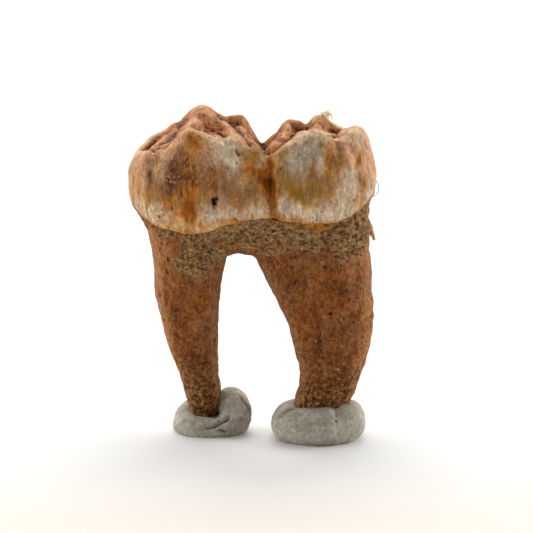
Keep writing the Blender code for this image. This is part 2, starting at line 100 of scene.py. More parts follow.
# Folds of the chewing surface: the fall of the sides, then x, y, height and tip radius along the ridge.
FOLDS = (
    # Tallest cusp, at the tongue side of the front lobe, and the knob in front of it.
    (1.1, (-9, 4.5, 39.1, 1.2), (-7.8, 4.4, 40.45, 1.6), (-6.5, 4.2, 41.2, 1.8), (-5.4, 4.4, 41, 1.7),
     (-4.5, 4.7, 40.1, 1.2)),
    (1.15, (-7, 2.6, 39.9, 1), (-7.2, 1.2, 39.75, 1), (-7.7, 0, 39.1, 0.9), (-8.4, -1.2, 38.3, 0.7)),
    # Second cusp of the tongue side and the ridge that runs down from it.
    (1.9, (-3.2, 5, 39.75, 1), (-2.2, 5.1, 39.9, 0.9), (-1.6, 5.1, 39.8, 0.8)),
    (2.4, (-1.6, 5.1, 39.8, 0.7), (-1.2, 5.1, 39.8, 0.6), (-0.7, 5.2, 39.25, 0.35)),
    (1.7, (-0.3, 5.2, 37.8, 0.7), (0.5, 5.2, 36.7, 0.6), (1.5, 5.2, 36.2, 0.6)),
    (1.35, (-4.3, 2.9, 39.5, 0.8), (-3.6, 2, 39.4, 0.9), (-2.9, 0.9, 38.9, 0.9), (-2.3, -0.6, 38.3, 0.8),
     (-1.7, -2, 37.9, 0.7)),
    (1.4, (-1.6, 3.2, 38.6, 0.8), (-0.9, 1.6, 37.8, 0.8), (-0.2, 0.2, 37.2, 0.7)),
    # Front rim, which climbs back along the tongue side.
    (1.5, (-9.8, 4.7, 38.6, 0.9), (-10.8, 4.6, 38.1, 0.9), (-12.3, 3.9, 37.5, 0.9), (-13.2, 2.2, 36.6, 0.9),
     (-13.6, -0.4, 36.2, 0.9), (-13.4, -2.8, 36.3, 0.9), (-12.6, -4.2, 36.5, 0.9)),
    (1.3, (-9.5, 2.8, 38.4, 0.8), (-10.3, 1.3, 37.9, 0.8), (-11.2, -0.1, 37.3, 0.8),
     (-11.9, -1.2, 36.8, 0.7)),
    (1.3, (-10.4, -2.6, 37.1, 0.6), (-11.3, -2.2, 36.9, 0.6), (-12.2, -2.4, 36.6, 0.6)),
    # Cheek side of the front lobe.
    (1.25, (-11, -4.9, 36.6, 0.9), (-9.9, -5, 37.2, 1.1), (-8.7, -5.1, 38.5, 1.2), (-7.6, -5.1, 39.25, 1.3),
     (-6.1, -5.1, 39, 1.3), (-4.9, -5.1, 38.45, 1.2), (-4, -5.1, 38.15, 1.1)),
    (1.5, (-3.4, -5.1, 38.2, 1), (-2.6, -5, 38.45, 1), (-1.8, -5, 38.3, 1), (-1.3, -4.8, 37.6, 0.8)),
    (1.2, (-7.9, -4, 38.8, 1), (-8.6, -2.8, 38.3, 0.8), (-9.4, -2.2, 37.7, 0.7)),
    (1.5, (-5.4, -3.6, 38.4, 0.6), (-4.6, -2.2, 38.2, 0.7), (-3.9, -1, 37.8, 0.6)),
    # Tubercle on the cheek side between the lobes.
    (1.5, (-0.9, -5.9, 37.1, 0.8), (0, -6.1, 37.1, 0.9), (0.8, -6.1, 36.8, 0.8), (1.4, -5.9, 36.3, 0.7)),
    # Cheek side of the rear lobe and the wrinkle behind its crest.
    (1.4, (2.7, -5.5, 36.3, 0.8), (3.5, -5.5, 37.1, 1), (4.4, -5.4, 37.4, 0.9)),
    (1.15, (5, -5.5, 37.9, 1.2), (6.1, -5.4, 38.7, 1.5), (7.5, -5.4, 39.1, 1.7), (8.9, -5.3, 38.85, 1.5),
     (10.1, -5, 38.2, 1.1)),
    (1.6, (6.2, -3.6, 38.6, 0.5), (7, -3.4, 39, 0.6), (8, -3.3, 39.05, 0.6), (8.9, -3.6, 38.7, 0.5)),
    # Rear lobe.
    (1.25, (10.7, -4.1, 38.1, 1.1), (11.6, -3.2, 38.9, 1.3), (12.4, -1.8, 39.25, 1.5), (12.8, 0.2, 39, 1.5),
     (12.6, 2.2, 38.5, 1.3), (11.5, 4, 38.3, 1.2)),
    (1.5, (9.5, -3, 38.3, 0.6), (10, -1.8, 38.1, 0.6), (10.3, -0.4, 37.8, 0.6)),
    # Tongue side of the rear lobe.
    (1.5, (2.9, 5.2, 37.6, 0.9), (3.7, 5.1, 38.8, 1), (4.6, 5.1, 39.25, 1.1), (5.5, 5.1, 39.1, 0.9)),
    (1.3, (6.9, 5.1, 38.8, 1), (7.7, 5.1, 39.7, 1.3), (8.5, 5, 39.85, 1.3), (9.7, 4.9, 39.2, 1.1),
     (10.8, 4.5, 38.5, 1)),
    (1.4, (4.5, 3.6, 38.7, 0.8), (4, 2.2, 38, 0.8), (3.4, 1, 37.5, 0.7), (3, 0, 37, 0.6)),
    (1.5, (6.5, 1.8, 38.4, 0.8), (6.1, 0.4, 38.3, 0.8), (5.2, -0.9, 37.7, 0.8), (4.2, -2.2, 36.9, 0.7)),
    (1.3, (8.2, 3.4, 38.8, 0.9), (8.5, 1.8, 38.1, 0.8), (8.2, 0.3, 37.5, 0.7), (7.2, -0.9, 37.3, 0.6)),
)

# Furrows: the width, then x, y, z and depth along the middle, which is below zero on a ridge.
FURROWS = (
    # Between the two lobes, on the cheek side and on the tongue side.
    (0.8, (2.1, -7.4, 37, 0.1), (2.2, -8.2, 35.4, 0.9), (2.1, -8.6, 33.4, 1.2), (2.1, -8.7, 31.5, 1),
     (2.5, -8.2, 29.2, 0.5), (2.6, -7.6, 27.6, 0)),
    (1.1, (1.7, 7.4, 37.4, 0.6), (1.6, 8.3, 34.5, 1.3), (1.6, 8.3, 31.5, 0.9), (1.6, 7.6, 28, 0)),
    # Wider hollow around the same groove.
    (2.2, (2.1, -8, 37, 0.1), (2.1, -8.6, 33.5, 0.6), (2.3, -8.3, 30, 0.3), (2.4, -7.4, 27, 0.1)),
    (2.4, (1.7, 7.8, 37, 0.3), (1.6, 8.3, 33, 0.5), (1.6, 7.8, 29, 0)),
    # Front and rear sides of the tubercle between the lobes.
    (0.6, (-1.4, -6.6, 37.6, 0.4), (-1.4, -7.9, 36, 0.5), (-1.2, -8.5, 34, 0.3), (-0.8, -8.7, 32, 0)),
    (0.8, (0.2, -7.6, 36.6, -0.1), (0.4, -8.4, 35, -0.35), (0.5, -8.7, 33.4, 0)),
    # Near the front corner of the cheek side.
    (0.8, (-11.6, -5.8, 36.4, 0.2), (-12.1, -7.6, 34.8, 0.55), (-12.3, -8.1, 32.5, 0.5), (-12.2, -8, 30, 0.2),
     (-12, -7.6, 28.4, 0)),
    # Between the rear lobe and the cusp before it.
    (0.7, (10.3, -4.9, 38.3, 0.4), (10.7, -6.4, 37.4, 0.7), (11.3, -7.5, 35.8, 0.5), (11.9, -8, 34, 0)),
    # Up from the fork of the roots, in front and behind.
    (2.4, (-0.8, -6.8, 22.5, 0.6), (-0.6, -7.1, 25, 0.8), (0.6, -7.4, 27.6, 0.2)),
    (2.4, (-0.8, 6.5, 22.5, 0.6), (-0.6, 6.9, 25, 0.8), (0.6, 7.2, 27.6, 0.2)),
    # Along the roots, in front, on the facing sides and on the outer sides.
    (1.3, (7.4, -6.9, 26, 0), (7.7, -6.8, 21, 0.3), (8, -6.3, 14.5, 0.4), (8.4, -5.2, 8.5, 0.2),
     (8.5, -4, 5.5, 0)),
    (1.8, (-3.2, 0, 23, 0.3), (-4.1, 0.4, 17, 0.8), (-4.4, 1.2, 11, 0.6), (-4.2, 2.4, 5, 0.2)),
    (1.9, (0.4, 0, 22.6, 0.3), (3.4, 0, 16.5, 0.9), (5.3, 0, 10.5, 0.7), (5.7, 0, 5.5, 0.2)),
    (1.8, (14.3, 0.2, 27, 0), (14.6, 0.1, 21, 0.5), (14.8, 0, 15, 0.5), (13.9, 0, 9.5, 0.1)),
    (1.8, (-12.9, 0.2, 27, 0), (-12.1, 0.4, 20, 0.5), (-11.4, 0.8, 15, 0.5), (-9.9, 1.8, 9.5, 0.1)),
    # Between the cusps of the tongue side.
    (0.8, (-3.9, 6.2, 39, 0.3), (-4, 7.6, 36.8, 0.6), (-4, 8.3, 34, 0.2), (-4, 8.4, 32.5, 0)),
    (0.8, (6.3, 6.2, 38.4, 0.3), (6.4, 7.6, 36.8, 0.6), (6.5, 8.3, 34, 0.2), (6.6, 8.4, 32.5, 0)),
)

# Fine creases and cracks, given like the furrows.
CREASES = (
    # Thin crack down the cheek side of the rear lobe.
    (0.13, (8.7, -7.9, 36.6, 0), (9.3, -8.4, 34.4, 0.10), (9.6, -8.5, 32, 0.12), (9.8, -8.3, 29.6, 0.10),
     (9.9, -7.9, 28.2, 0)),
    # Short cracks in the middle of the front lobe.
    (0.12, (-4.7, -8.5, 34, 0), (-4.5, -8.6, 33, 0.14), (-4.6, -8.6, 32, 0)),
    (0.12, (-2.4, -8.4, 34.4, 0), (-2.5, -8.6, 33.6, 0.12), (-2.3, -8.6, 32.7, 0)),
    (0.12, (-8.6, -8.4, 34.6, 0), (-8.8, -8.5, 32.6, 0.12), (-8.5, -8.5, 30.6, 0)),
    # Dark notch beside the tubercle.
    (0.3, (-1.5, -7.2, 36.4, 0.1), (-1.4, -7.9, 35.6, 0.3), (-1.2, -8.3, 34.6, 0)),
    # Groove with pits low on the right root.
    (0.35, (7.7, -6.4, 17.4, 0), (8, -6.3, 15.8, 0.2), (8.2, -6.1, 13.8, 0.25), (8.3, -5.9, 12.6, 0)),
    # Cracks down the rear corner under the crown.
    (0.2, (13.2, -4.6, 29.6, 0), (13.5, -4.2, 28, 0.3), (13.6, -4, 26.2, 0.3), (13.7, -3.8, 24.6, 0)),
    (0.16, (13.9, -3.4, 29.8, 0), (14.1, -3, 28.4, 0.3), (14.1, -2.8, 26.6, 0.2), (14.1, -2.6, 25.4, 0)),
)

# Lower edge of the enamel, as x and z, and how far the enamel stands out there.
ENAMEL_EDGE = (
    (-15.3, 30.8), (-13.7, 28.9), (-12.2, 27.7), (-9.6, 27), (-7.2, 26.7), (-5.2, 27.1), (-3.4, 27.9),
    (-1.6, 28.3), (0.8, 28.6), (2.6, 28.7), (4.4, 28.3), (6.2, 28.1), (8, 27.95), (10.1, 28.1), (11.9, 28.7),
    (13.1, 29.5), (15.2, 31.4),
)
ENAMEL_STEP = 0.3
ENAMEL_STEP_SPAN = 0.3
ENAMEL_STEP_FADE = 4
ENAMEL_EDGE_WOBBLE = 0.16

# How far the porous bone reaches below the enamel, as x and depth, and patches of it farther down, as x, z,
# half width and half height.
POROUS_DEPTH = ((-13, 0.6), (-4.5, 1.4), (-2.5, 3.2), (1, 4.2), (8, 3.8), (12, 4.4), (14.5, 4))
POROUS_PATCHES = ((-6.4, 23.9, 3, 1.7), (11.4, 25.4, 2.2, 1.8))
# Yellow spot under the rear lobe: x, half width, and depth and half depth below the enamel.
OCHRE_SPOT = (7.6, 2, 0.45, 0.5)
# Top of the fork between the roots, as x and z.
FORK = (-0.9, 20.5)

# Single pits: x, y, z, radius and depth.
ENAMEL_PITS = (
    (-4.6, -8.6, 31.1, 0.22, 0.5), (-4.2, -8.6, 31.2, 0.2, 0.4), (-4.5, -8.6, 30.6, 0.24, 0.6),
    (-4.6, -8.6, 30.1, 0.16, 0.3), (12.9, -7.3, 34.5, 0.2, 0.3), (12.1, -7.7, 30.5, 0.2, 0.3),
    (11.6, -7.9, 30.4, 0.14, 0.2), (12.2, -7.5, 30, 0.13, 0.2), (-4.6, -8.6, 33, 0.15, 0.15),
)
ROOT_PITS = (
    (-5.7, -4.4, 14.6, 0.28, 0.25), (-9.3, -4, 13.6, 0.2, 0.2), (8.2, -6.3, 14, 0.26, 0.3),
    (8.3, -6.1, 13.1, 0.24, 0.3), (9.5, -6.6, 16.8, 0.2, 0.25), (8.8, -6.9, 22.6, 0.24, 0.3),
    (5.3, -6.8, 20.8, 0.22, 0.25), (11, -6.6, 18, 0.16, 0.2), (-5.2, -6.7, 24.4, 0.24, 0.3),
    (-4.6, -6.6, 23.3, 0.22, 0.3), (-6.2, -6.8, 23.9, 0.2, 0.25), (-5.9, -6.9, 25.2, 0.2, 0.3),
)
# Small dark bumps on the inner edge of the left root, given like the pits.
ROOT_BUMPS = ((-4.1, 1.5, 14.44, 0.16, 0.3), (-4, 1.5, 13.3, 0.17, 0.42), (-11.9, 0.5, 24.6, 0.16, 0.25))

# Grid and roughness of the crumb and the flake.
SCRAP_GRID = 0.05
SCRAP_GRAIN = 0.05
# Grains of the crumb on the rear cusp: centre, half sizes and tilt in degrees.
CRUMB_GRAINS = (
    ((8.75, 5, 39.95), (0.42, 0.4, 0.3), 20), ((9.25, 4.9, 40.2), (0.45, 0.42, 0.34), -10),
    ((9.65, 5, 39.95), (0.34, 0.36, 0.26), 30), ((9, 5.3, 40.25), (0.3, 0.3, 0.24), 0),
    ((8.45, 5.1, 40.15), (0.22, 0.26, 0.16), 40), ((9.45, 4.7, 39.6), (0.13, 0.13, 0.36), 8),
    ((9.85, 4.9, 39.55), (0.12, 0.13, 0.34), -12), ((9.1, 4.7, 39.7), (0.2, 0.2, 0.3), 5),
)
# Blades of the flake at the rear end: x, y, z and radius.
FLAKE_BLADES = (
    ((14.2, -1.1, 27.4, 0.14), (14.45, -1.15, 26.6, 0.22), (14.65, -1.2, 25.9, 0.2),
     (14.8, -1.2, 25.5, 0.08)),
    ((14.2, -0.65, 27.6, 0.16), (14.5, -0.75, 26.7, 0.26), (14.75, -0.8, 25.8, 0.24), (15, -0.8, 25.2, 0.17),
     (15.15, -0.8, 24.9, 0.08)),
    ((14.25, -0.25, 27.5, 0.14), (14.5, -0.3, 26.6, 0.24), (14.7, -0.35, 25.9, 0.22),
     (14.85, -0.4, 25.3, 0.13), (14.9, -0.45, 24.8, 0.06)),
    ((14.3, 0.15, 27.2, 0.12), (14.5, 0.15, 26.4, 0.2), (14.6, 0.1, 25.7, 0.15), (14.65, 0.05, 25.2, 0.07)),
)
HAIR_ROUTE = (
    (14.9, 0, 32.6, 0.05), (15.3, 0, 32.1, 0.048), (15.56, 0, 31.4, 0.045), (15.5, 0, 30.85, 0.042),
    (15.25, 0, 30.5, 0.04), (14.95, 0, 30.2, 0.035),
)
# Thin plates on the front lobe. Each one sits on the frontmost point of the tooth within this reach of it.
CRYSTAL_REACH = 0.25
CRYSTAL_THICKNESS = 0.05
# Their x, z, half length and half width, then roll and tilt in degrees.
CRYSTALS = (
    ((-9.8, 33.7, 0.34, 0.2), (50, 62)), ((-9.6, 33.2, 0.36, 0.22), (-15, 78)),
    ((-9.3, 33.7, 0.28, 0.16), (-60, 110)), ((-9.7, 34.1, 0.26, 0.14), (80, 70)),
    ((-10.2, 33.3, 0.3, 0.16), (35, 58)), ((-9.2, 33.1, 0.28, 0.2), (20, 100)),
    ((-8.7, 33.8, 0.26, 0.12), (-50, 66)), ((-10.1, 33.8, 0.22, 0.12), (-40, 75)),
)

# Strands of putty: x, y, z and radius along the middle. A ring closes on itself.
LEFT_PUTTY_RING = (
    (-8.3, 2.6, 1, 1.7), (-7.7, 0.8, 0.8, 1.6), (-6, 0.1, 0.75, 1.5), (-4.2, 0.1, 0.75, 1.45),
    (-2.6, 1, 1.35, 2.05), (-2.4, 3.6, 1.7, 2.1), (-3.4, 5.6, 1.6, 2), (-5.8, 6.2, 1.6, 1.9),
    (-7.6, 4.9, 1.5, 1.95),
)
LEFT_PUTTY_LUMP = (
    (-2.1, 0.6, 1.7, 2), (-2.1, 1.5, 2.7, 2.1), (-2.5, 3, 3.3, 2.1), (-2.9, 4.6, 3, 2), (-3.2, 5.8, 2.2, 1.8),
)
RIGHT_PUTTY_RING = (
    (4.5, 0, 1.85, 2.2), (5.2, -2.9, 1.8, 2.35), (8, -3.9, 1.95, 2.5), (10.9, -3, 2.05, 2.4),
    (11.8, -0.2, 2.2, 2.4), (11, 2.6, 2, 2.2), (8, 3.5, 1.9, 2.1), (5.3, 2.5, 2, 2.1),
)
LEFT_PUTTY_BASE = ((-5.2, 3.1, 0.9), (4.2, 4, 1.1))
RIGHT_PUTTY_BASE = ((8.2, 0, 0.9), (5, 4.6, 1.1))
LEFT_PUTTY_FURROWS = (
    # From the root under the lump, deepest where the front strand tucks in.
    (0.26, (-4.5, -0.7, 2.2, 0), (-4, -0.75, 2.1, 0.7), (-3.6, -0.75, 2.15, 1.3), (-3.2, -0.8, 2.35, 1.1),
     (-2.8, -0.9, 2.6, 0.3), (-2.4, -1, 2.8, 0)),
    # Between the root and the lump.
    (0.3, (-4.3, -0.5, 2.9, 0.3), (-4.15, 0.2, 3.8, 0.6), (-4.05, 1, 4.8, 0.5), (-4, 1.8, 5.4, 0.2)),
    # Cracks across the front strand.
    (0.2, (-6.3, -1.4, 1, 0), (-5.5, -1.32, 1.25, 0.5), (-4.8, -1.22, 1.45, 0.6), (-4.3, -1.06, 1.7, 0.6),
     (-3.8, -0.85, 2.05, 0.3)),
    (0.17, (-4.4, -1.35, 1.2, 0), (-4, -1.3, 1, 0.5), (-3.5, -1.3, 0.7, 0.5), (-3.3, -1.3, 0.4, 0)),
    (0.12, (-6.9, -1.3, 2.2, 0), (-6.6, -1.4, 2, 0.15), (-6.4, -1.5, 1.7, 0)),
    # Fold across the upper right of the lump.
    (0.2, (-2.1, 1.6, 4.95, 0), (-1.5, 1.1, 4.7, 0.3), (-1, 0.65, 4.35, 0.6), (-0.6, 0.6, 3.9, 0.7),
     (-0.3, 0.6, 3.4, 0.8), (-0.15, 0.5, 2.1, 0.2)),
)
RIGHT_PUTTY_FURROWS = (
    (0.45, (5.6, -2.3, 4.4, 0.2), (4.7, -2.9, 4.1, 0.7), (3.9, -3.2, 3.7, 0.8), (3.3, -3.3, 3.1, 0.4),
     (2.9, -3.2, 2.4, 0)),
    (0.5, (10.3, -3.6, 4.6, 0.4), (10.4, -4.6, 4.2, 0.35), (10.5, -5.2, 3, 0)),
    # Small pits in the notch.
    (0.16, (10.3, -5, 4.3, 0), (10.45, -5.1, 4, 0.3), (10.4, -5.2, 3.9, 0)),
    (0.18, (10.1, -5.5, 3.4, 0), (10.3, -5.6, 3.2, 0.35), (10.5, -5.6, 3, 0)),
)

# Stains of the enamel: x, z, half width, half height and strength. First the cheek side.
CHEEK_STAINS = {
    "tan": (
        (-9.2, 33.9, 1.1, 1.7, 0.95), (-7.3, 34, 1, 1.8, 0.95), (-8.9, 36.4, 1.3, 0.8, 0.6),
        (-12.2, 33.6, 0.6, 1.8, 0.8), (-11.6, 31.7, 1.6, 0.8, 0.6), (-9.8, 31.2, 0.5, 1.2, 0.6),
        (-4.9, 33.6, 0.7, 1.6, 0.8), (-3, 32.8, 1.6, 1.6, 0.6), (-0.2, 34.8, 0.7, 0.9, 0.7),
        (-6.2, 31.6, 1.1, 1.6, 0.5), (-9.8, 31.6, 1.4, 1.2, 0.5), (0.2, 31.6, 1.4, 0.9, 0.6),
        (0.8, 33.2, 1, 1, 0.9), (1.2, 36.8, 0.9, 0.8, 0.6), (3.6, 34.6, 0.7, 2.2, 0.6),
        (-13.9, 33.2, 0.5, 2, 0.45), (6, 32.6, 2, 1.6, 0.45), (7.2, 33.6, 0.5, 1.8, 0.6),
        (10.6, 36, 0.6, 1.4, 0.6), (9.4, 34.8, 0.6, 2.2, 0.6), (13.5, 33, 0.5, 1.4, 0.7),
        (12.1, 30.6, 0.9, 0.6, 0.5), (-2.3, 31.3, 0.5, 0.8, 0.5),
    ),
    "amber": (
        (-7.3, 38.2, 0.8, 0.7, 0.5), (-6.5, 37.6, 0.6, 0.8, 0.45), (-7.5, 37.1, 0.5, 0.9, 0.4),
        (-7.6, 29.6, 1, 1.5, 0.9), (-7.4, 32, 0.6, 1.6, 0.6), (-7.4, 34.6, 0.7, 1.6, 0.5),
        (-2.1, 28.5, 0.5, 0.3, 0.8), (-12.2, 31.8, 0.8, 0.5, 0.55), (-10.2, 31.1, 0.4, 0.9, 0.4),
        (-9.4, 30.9, 0.3, 0.9, 0.5), (-4.9, 33, 0.4, 1.2, 0.6), (-2.3, 31.2, 0.35, 0.6, 0.6),
        (-0.5, 35, 0.5, 0.8, 0.7), (0.4, 33.9, 0.6, 0.7, 0.8), (1.3, 33, 0.7, 0.8, 0.9),
        (2.2, 32.4, 0.55, 1.2, 0.95), (2.2, 35.2, 0.4, 1.5, 0.8), (2.7, 30.2, 0.35, 1.3, 0.8),
        (3, 28.9, 0.5, 0.6, 0.6), (1.2, 37, 0.8, 0.6, 0.5), (9.3, 34.6, 0.3, 1.5, 0.85),
        (9.1, 36.4, 0.3, 0.8, 0.5), (13.1, 35.3, 0.5, 0.8, 0.7), (13.7, 32.8, 0.25, 1, 0.8),
        (7.1, 34, 0.3, 0.9, 0.4), (12.1, 30.5, 0.4, 0.35, 0.5), (-11, 28.6, 2.2, 0.9, 0.3),
        (-9.6, 36.8, 1, 0.5, 0.35), (-4, 28.2, 0.6, 0.3, 0.5), (-13.6, 31.2, 0.5, 0.6, 0.4),
        (4, 36.6, 0.5, 0.5, 0.4), (10.9, 35.4, 0.4, 0.9, 0.4),
    ),
    "umber": (
        (-9.4, 34.6, 0.8, 1.3, 0.75), (-7.5, 33.8, 0.7, 1.9, 0.85), (-6.4, 34.4, 0.3, 1.2, 0.5),
        (-9.7, 32, 0.4, 1.3, 0.85), (-12.2, 34, 0.3, 1.7, 0.7), (-12, 31.4, 0.9, 0.5, 0.5),
        (-8.4, 31.6, 0.3, 1.4, 0.5), (-4.8, 33.2, 0.28, 1, 0.8), (-2.9, 34.4, 0.25, 0.7, 0.5),
        (-6.2, 33.6, 0.3, 1, 0.5), (2.2, 32.6, 0.45, 1.1, 0.75), (-1.6, 36.3, 0.22, 0.6, 0.8),
        (0.8, 33.3, 0.5, 0.5, 0.6), (7.1, 33.8, 0.22, 0.8, 0.5), (3.6, 33.9, 0.35, 0.4, 0.7),
        (3, 33.2, 0.2, 0.3, 0.6), (10.7, 35.8, 0.25, 1.2, 0.5), (-11.2, 28.9, 0.5, 0.2, 0.6),
        (-6, 29.3, 0.2, 0.2, 0.7), (-12.4, 30.1, 0.25, 0.3, 0.5), (-10.9, 29.8, 0.8, 0.5, 0.4),
    ),
    "chalk": (
        (-4.9, 29, 1.1, 0.9, 0.8), (-2.9, 29.4, 1.2, 0.7, 0.8), (0.4, 29.8, 1.9, 0.6, 0.8),
        (-3, 36.9, 1.2, 1.2, 0.9), (-4.6, 38, 1, 0.4, 0.6), (3.7, 30.5, 0.6, 0.7, 0.9),
        (5.2, 29.5, 1.2, 0.6, 0.9), (7.2, 29, 1.6, 0.6, 0.9), (9, 29.6, 0.6, 1, 0.7), (7, 38.6, 2, 0.45, 0.9),
        (-2.4, 35.4, 0.8, 1.3, 0.85), (-4.2, 36.8, 0.5, 1.3, 0.6), (12, 33, 1.1, 1.6, 0.8),
        (14.3, 31.8, 0.5, 1.6, 0.9), (11.2, 30.6, 1.2, 1.6, 0.8), (0.7, 34.7, 0.35, 0.5, 0.7),
        (-11.4, 28.9, 1.8, 1, 0.8), (-13.6, 30.2, 0.6, 1.2, 0.4), (4.9, 34.6, 0.25, 1.3, 0.6),
        (6, 34.2, 0.2, 1.2, 0.5), (-5.4, 35, 0.25, 0.8, 0.5), (8.6, 36, 0.3, 1, 0.5),
        (12.6, 38, 1.2, 0.7, 0.6), (10.6, 29.4, 1.4, 0.9, 0.7),
    ),
    "slate": (
        (6.9, 36.8, 1.8, 1.5, 1), (5.2, 35, 1.1, 1.8, 0.8), (-2.9, 29.4, 1.2, 0.6, 0.5),
        (-2.3, 35.6, 1, 1.6, 0.6), (-3, 31.9, 1.3, 1.4, 0.5), (0.7, 34.7, 0.4, 0.6, 0.8),
        (8, 34.4, 0.5, 1.6, 0.5), (-12.1, 33.6, 0.4, 1.8, 0.6), (8.6, 30.2, 0.8, 1, 0.6),
        (4, 30.4, 0.8, 0.6, 0.7), (-10.7, 34.3, 0.35, 1.6, 0.5),
    ),
    "olive": (
        (-0.2, 36.2, 1, 0.8, 1), (3.8, 36.5, 0.6, 0.8, 0.6), (7.1, 33.8, 0.4, 1.1, 0.7),
        (5.2, 32.1, 1.2, 0.9, 0.75), (6.8, 31.3, 1.4, 0.8, 0.75), (8.4, 37.4, 0.3, 0.5, 0.8),
        (4.2, 33.4, 0.8, 1.2, 0.6), (-6.1, 31.4, 0.7, 1.3, 0.4), (-13.7, 31.3, 0.3, 0.5, 0.6),
        (10.5, 35.2, 0.5, 1, 0.5), (5.6, 33.4, 0.4, 1.4, 0.4), (8, 32.2, 0.6, 0.7, 0.5),
    ),
    "rose": (
        (-13.7, 35.2, 1, 1.8, 0.9), (-10.7, 34.4, 0.4, 1.8, 0.9), (-5.3, 35.8, 1.1, 2, 0.9),
        (12.3, 37.6, 1.6, 1.6, 1), (14.2, 35.4, 0.8, 2, 0.9), (8.9, 30, 0.9, 1.2, 0.5),
        (-8.8, 38, 0.9, 0.6, 0.7), (-8.7, 30.6, 0.4, 1.2, 0.6), (-6.2, 32, 0.4, 1.2, 0.4),
        (3.3, 36, 0.4, 0.8, 0.5),
    ),
}
# The tongue side, with the same kinds of stain.
TONGUE_STAINS = {
    "tan": (
        (-9.4, 34, 1.6, 2.6, 0.7), (-4, 34.6, 1.2, 2.4, 0.7), (1.6, 33.4, 1.8, 2.8, 0.9),
        (6.6, 34.6, 1.2, 2.2, 0.7), (11, 33, 1.4, 1.6, 0.5),
    ),
    "amber": (
        (-9, 36.4, 0.9, 1.6, 0.8), (-4, 36, 0.5, 2.6, 0.9), (1.6, 33.4, 0.7, 3.4, 1),
        (6.5, 35.6, 0.4, 2, 0.8), (10.5, 31, 1.2, 0.8, 0.6), (-7, 29.2, 1.2, 0.7, 0.7),
        (13.2, 34.6, 0.4, 1.4, 0.5),
    ),
    "umber": (
        (-10.4, 33.4, 0.6, 2.2, 0.8), (-4.1, 34, 0.4, 2, 0.7), (1.6, 32.4, 0.5, 2.6, 0.9),
        (5, 33, 0.4, 1.6, 0.7), (8.8, 33.6, 0.4, 1.8, 0.6), (-6.6, 32.8, 0.4, 1.4, 0.6),
    ),
    "chalk": (
        (-2, 30.2, 1.8, 1.2, 0.8), (4, 30, 1.6, 1, 0.8), (8.4, 37.2, 1.6, 1, 0.6), (-7.2, 38.6, 1.6, 1, 0.6),
        (12, 32, 1.2, 1.6, 0.7), (-12.4, 31, 1.2, 1.4, 0.6),
    ),
    "slate": (
        (-6.8, 35.2, 1.4, 2, 0.8), (4.2, 36.2, 1, 1.4, 0.7), (9.4, 34.6, 1.4, 1.6, 0.6),
        (-1.6, 34.4, 1, 1.8, 0.5),
    ),
    "olive": (
        (-8.6, 31.4, 1.6, 1, 0.8), (0.4, 35.6, 1, 1.2, 0.7), (7.2, 31.6, 1.4, 1, 0.8),
        (-2.6, 32.4, 0.7, 1.4, 0.6),
    ),
    "rose": (
        (-13, 34.6, 1.4, 2.4, 0.8), (12.6, 36, 1.6, 2, 0.8), (3, 34.2, 0.7, 1.6, 0.5),
        (-2.4, 37, 1, 1.4, 0.6),
    ),
}

# Colours, as red, green and blue out of 255.
COLOURS = {
    "enamel": (214, 168, 112), "enamel_warm": (180, 122, 66), "honey": (190, 124, 50), "amber": (144, 76, 8),
    "tan": (124, 76, 36), "umber": (76, 40, 16), "chalk": (212, 192, 164), "slate": (174, 159, 141),
    "olive": (146, 106, 36), "rose": (204, 148, 108), "table": (168, 104, 58), "table_warm": (172, 100, 46),
    # Painted shade and painted highlight for the hollows and ridges of the chewing surface, then worn crests.
    "table_painted_shade": (98, 48, 18), "table_painted_highlight": (216, 162, 114), "crest": (240, 210, 166),
    # The groove and pit colours are painted shade; the pit one also colours the small dark bumps.
    "groove": (60, 28, 8), "pit_shade_and_bump": (16, 9, 5), "root": (152, 86, 34), "root_dark_and_shade": (116, 62, 22),
    "root_pale_and_highlight": (190, 134, 88), "root_rose": (180, 118, 74), "root_tip": (98, 62, 24),
    "root_speck_and_shade": (44, 24, 10), "root_fleck": (226, 186, 136), "root_olive": (124, 88, 38),
    "root_grey": (186, 142, 96), "porous": (160, 114, 66), "porous_pale": (206, 168, 120),
    "porous_grey": (152, 120, 82), "ochre": (184, 118, 24), "putty": (178, 170, 153),
    "putty_dark_and_shade": (112, 105, 92), "putty_pale": (204, 197, 182), "crumb": (255, 250, 226),
    "flake": (196, 134, 70), "flake_end": (244, 200, 134), "hair": (96, 90, 86), "crystal": (168, 118, 74),
    "floor": (229, 229, 228), "floor_near_shade": (218, 213, 204),
}


def colour(name):
    """A colour of the table as Blender's linear red, green, blue and alpha."""
    share = np.array(COLOURS[name]) / 255.0
    linear = np.where(share <= 0.04045, share / 12.92, ((share + 0.055) / 1.055) ** 2.4)
    return (*[float(v) for v in linear], 1.0)


# Noise and distances

LATTICE = 32


def soft_noise(points, size, seed):
    """Smooth noise from -1 to 1, with bumps as wide as the size, which may differ along X, Y and Z."""
    values = np.random.default_rng(seed).random((LATTICE, LATTICE, LATTICE)) * 2.0 - 1.0
    place = points / np.array(size)
    cell = np.floor(place).astype(int)
    share = place - cell
    share = share * share * (3.0 - 2.0 * share)
    total = np.zeros(len(points))
    for corner in np.ndindex(2, 2, 2):
        weight = np.prod(np.where(corner, share, 1.0 - share), axis=1)
        i, j, k = ((cell + corner) % LATTICE).T
        total += weight * values[i, j, k]
    return total


def layered_noise(points, size, layers, seed):
    """Smooth noise with finer and fainter layers on top."""
    size = np.array(size, float)
    turn = np.array(Matrix.Rotation(0.7, 3, Vector((0.3, 0.2, 1.0))))
    total = np.zeros(len(points))
    for layer in range(layers):
        total += soft_noise(points, size / 2.0 ** layer, seed + layer) / 2.0 ** layer
        points = points @ turn + 3.7
    return total


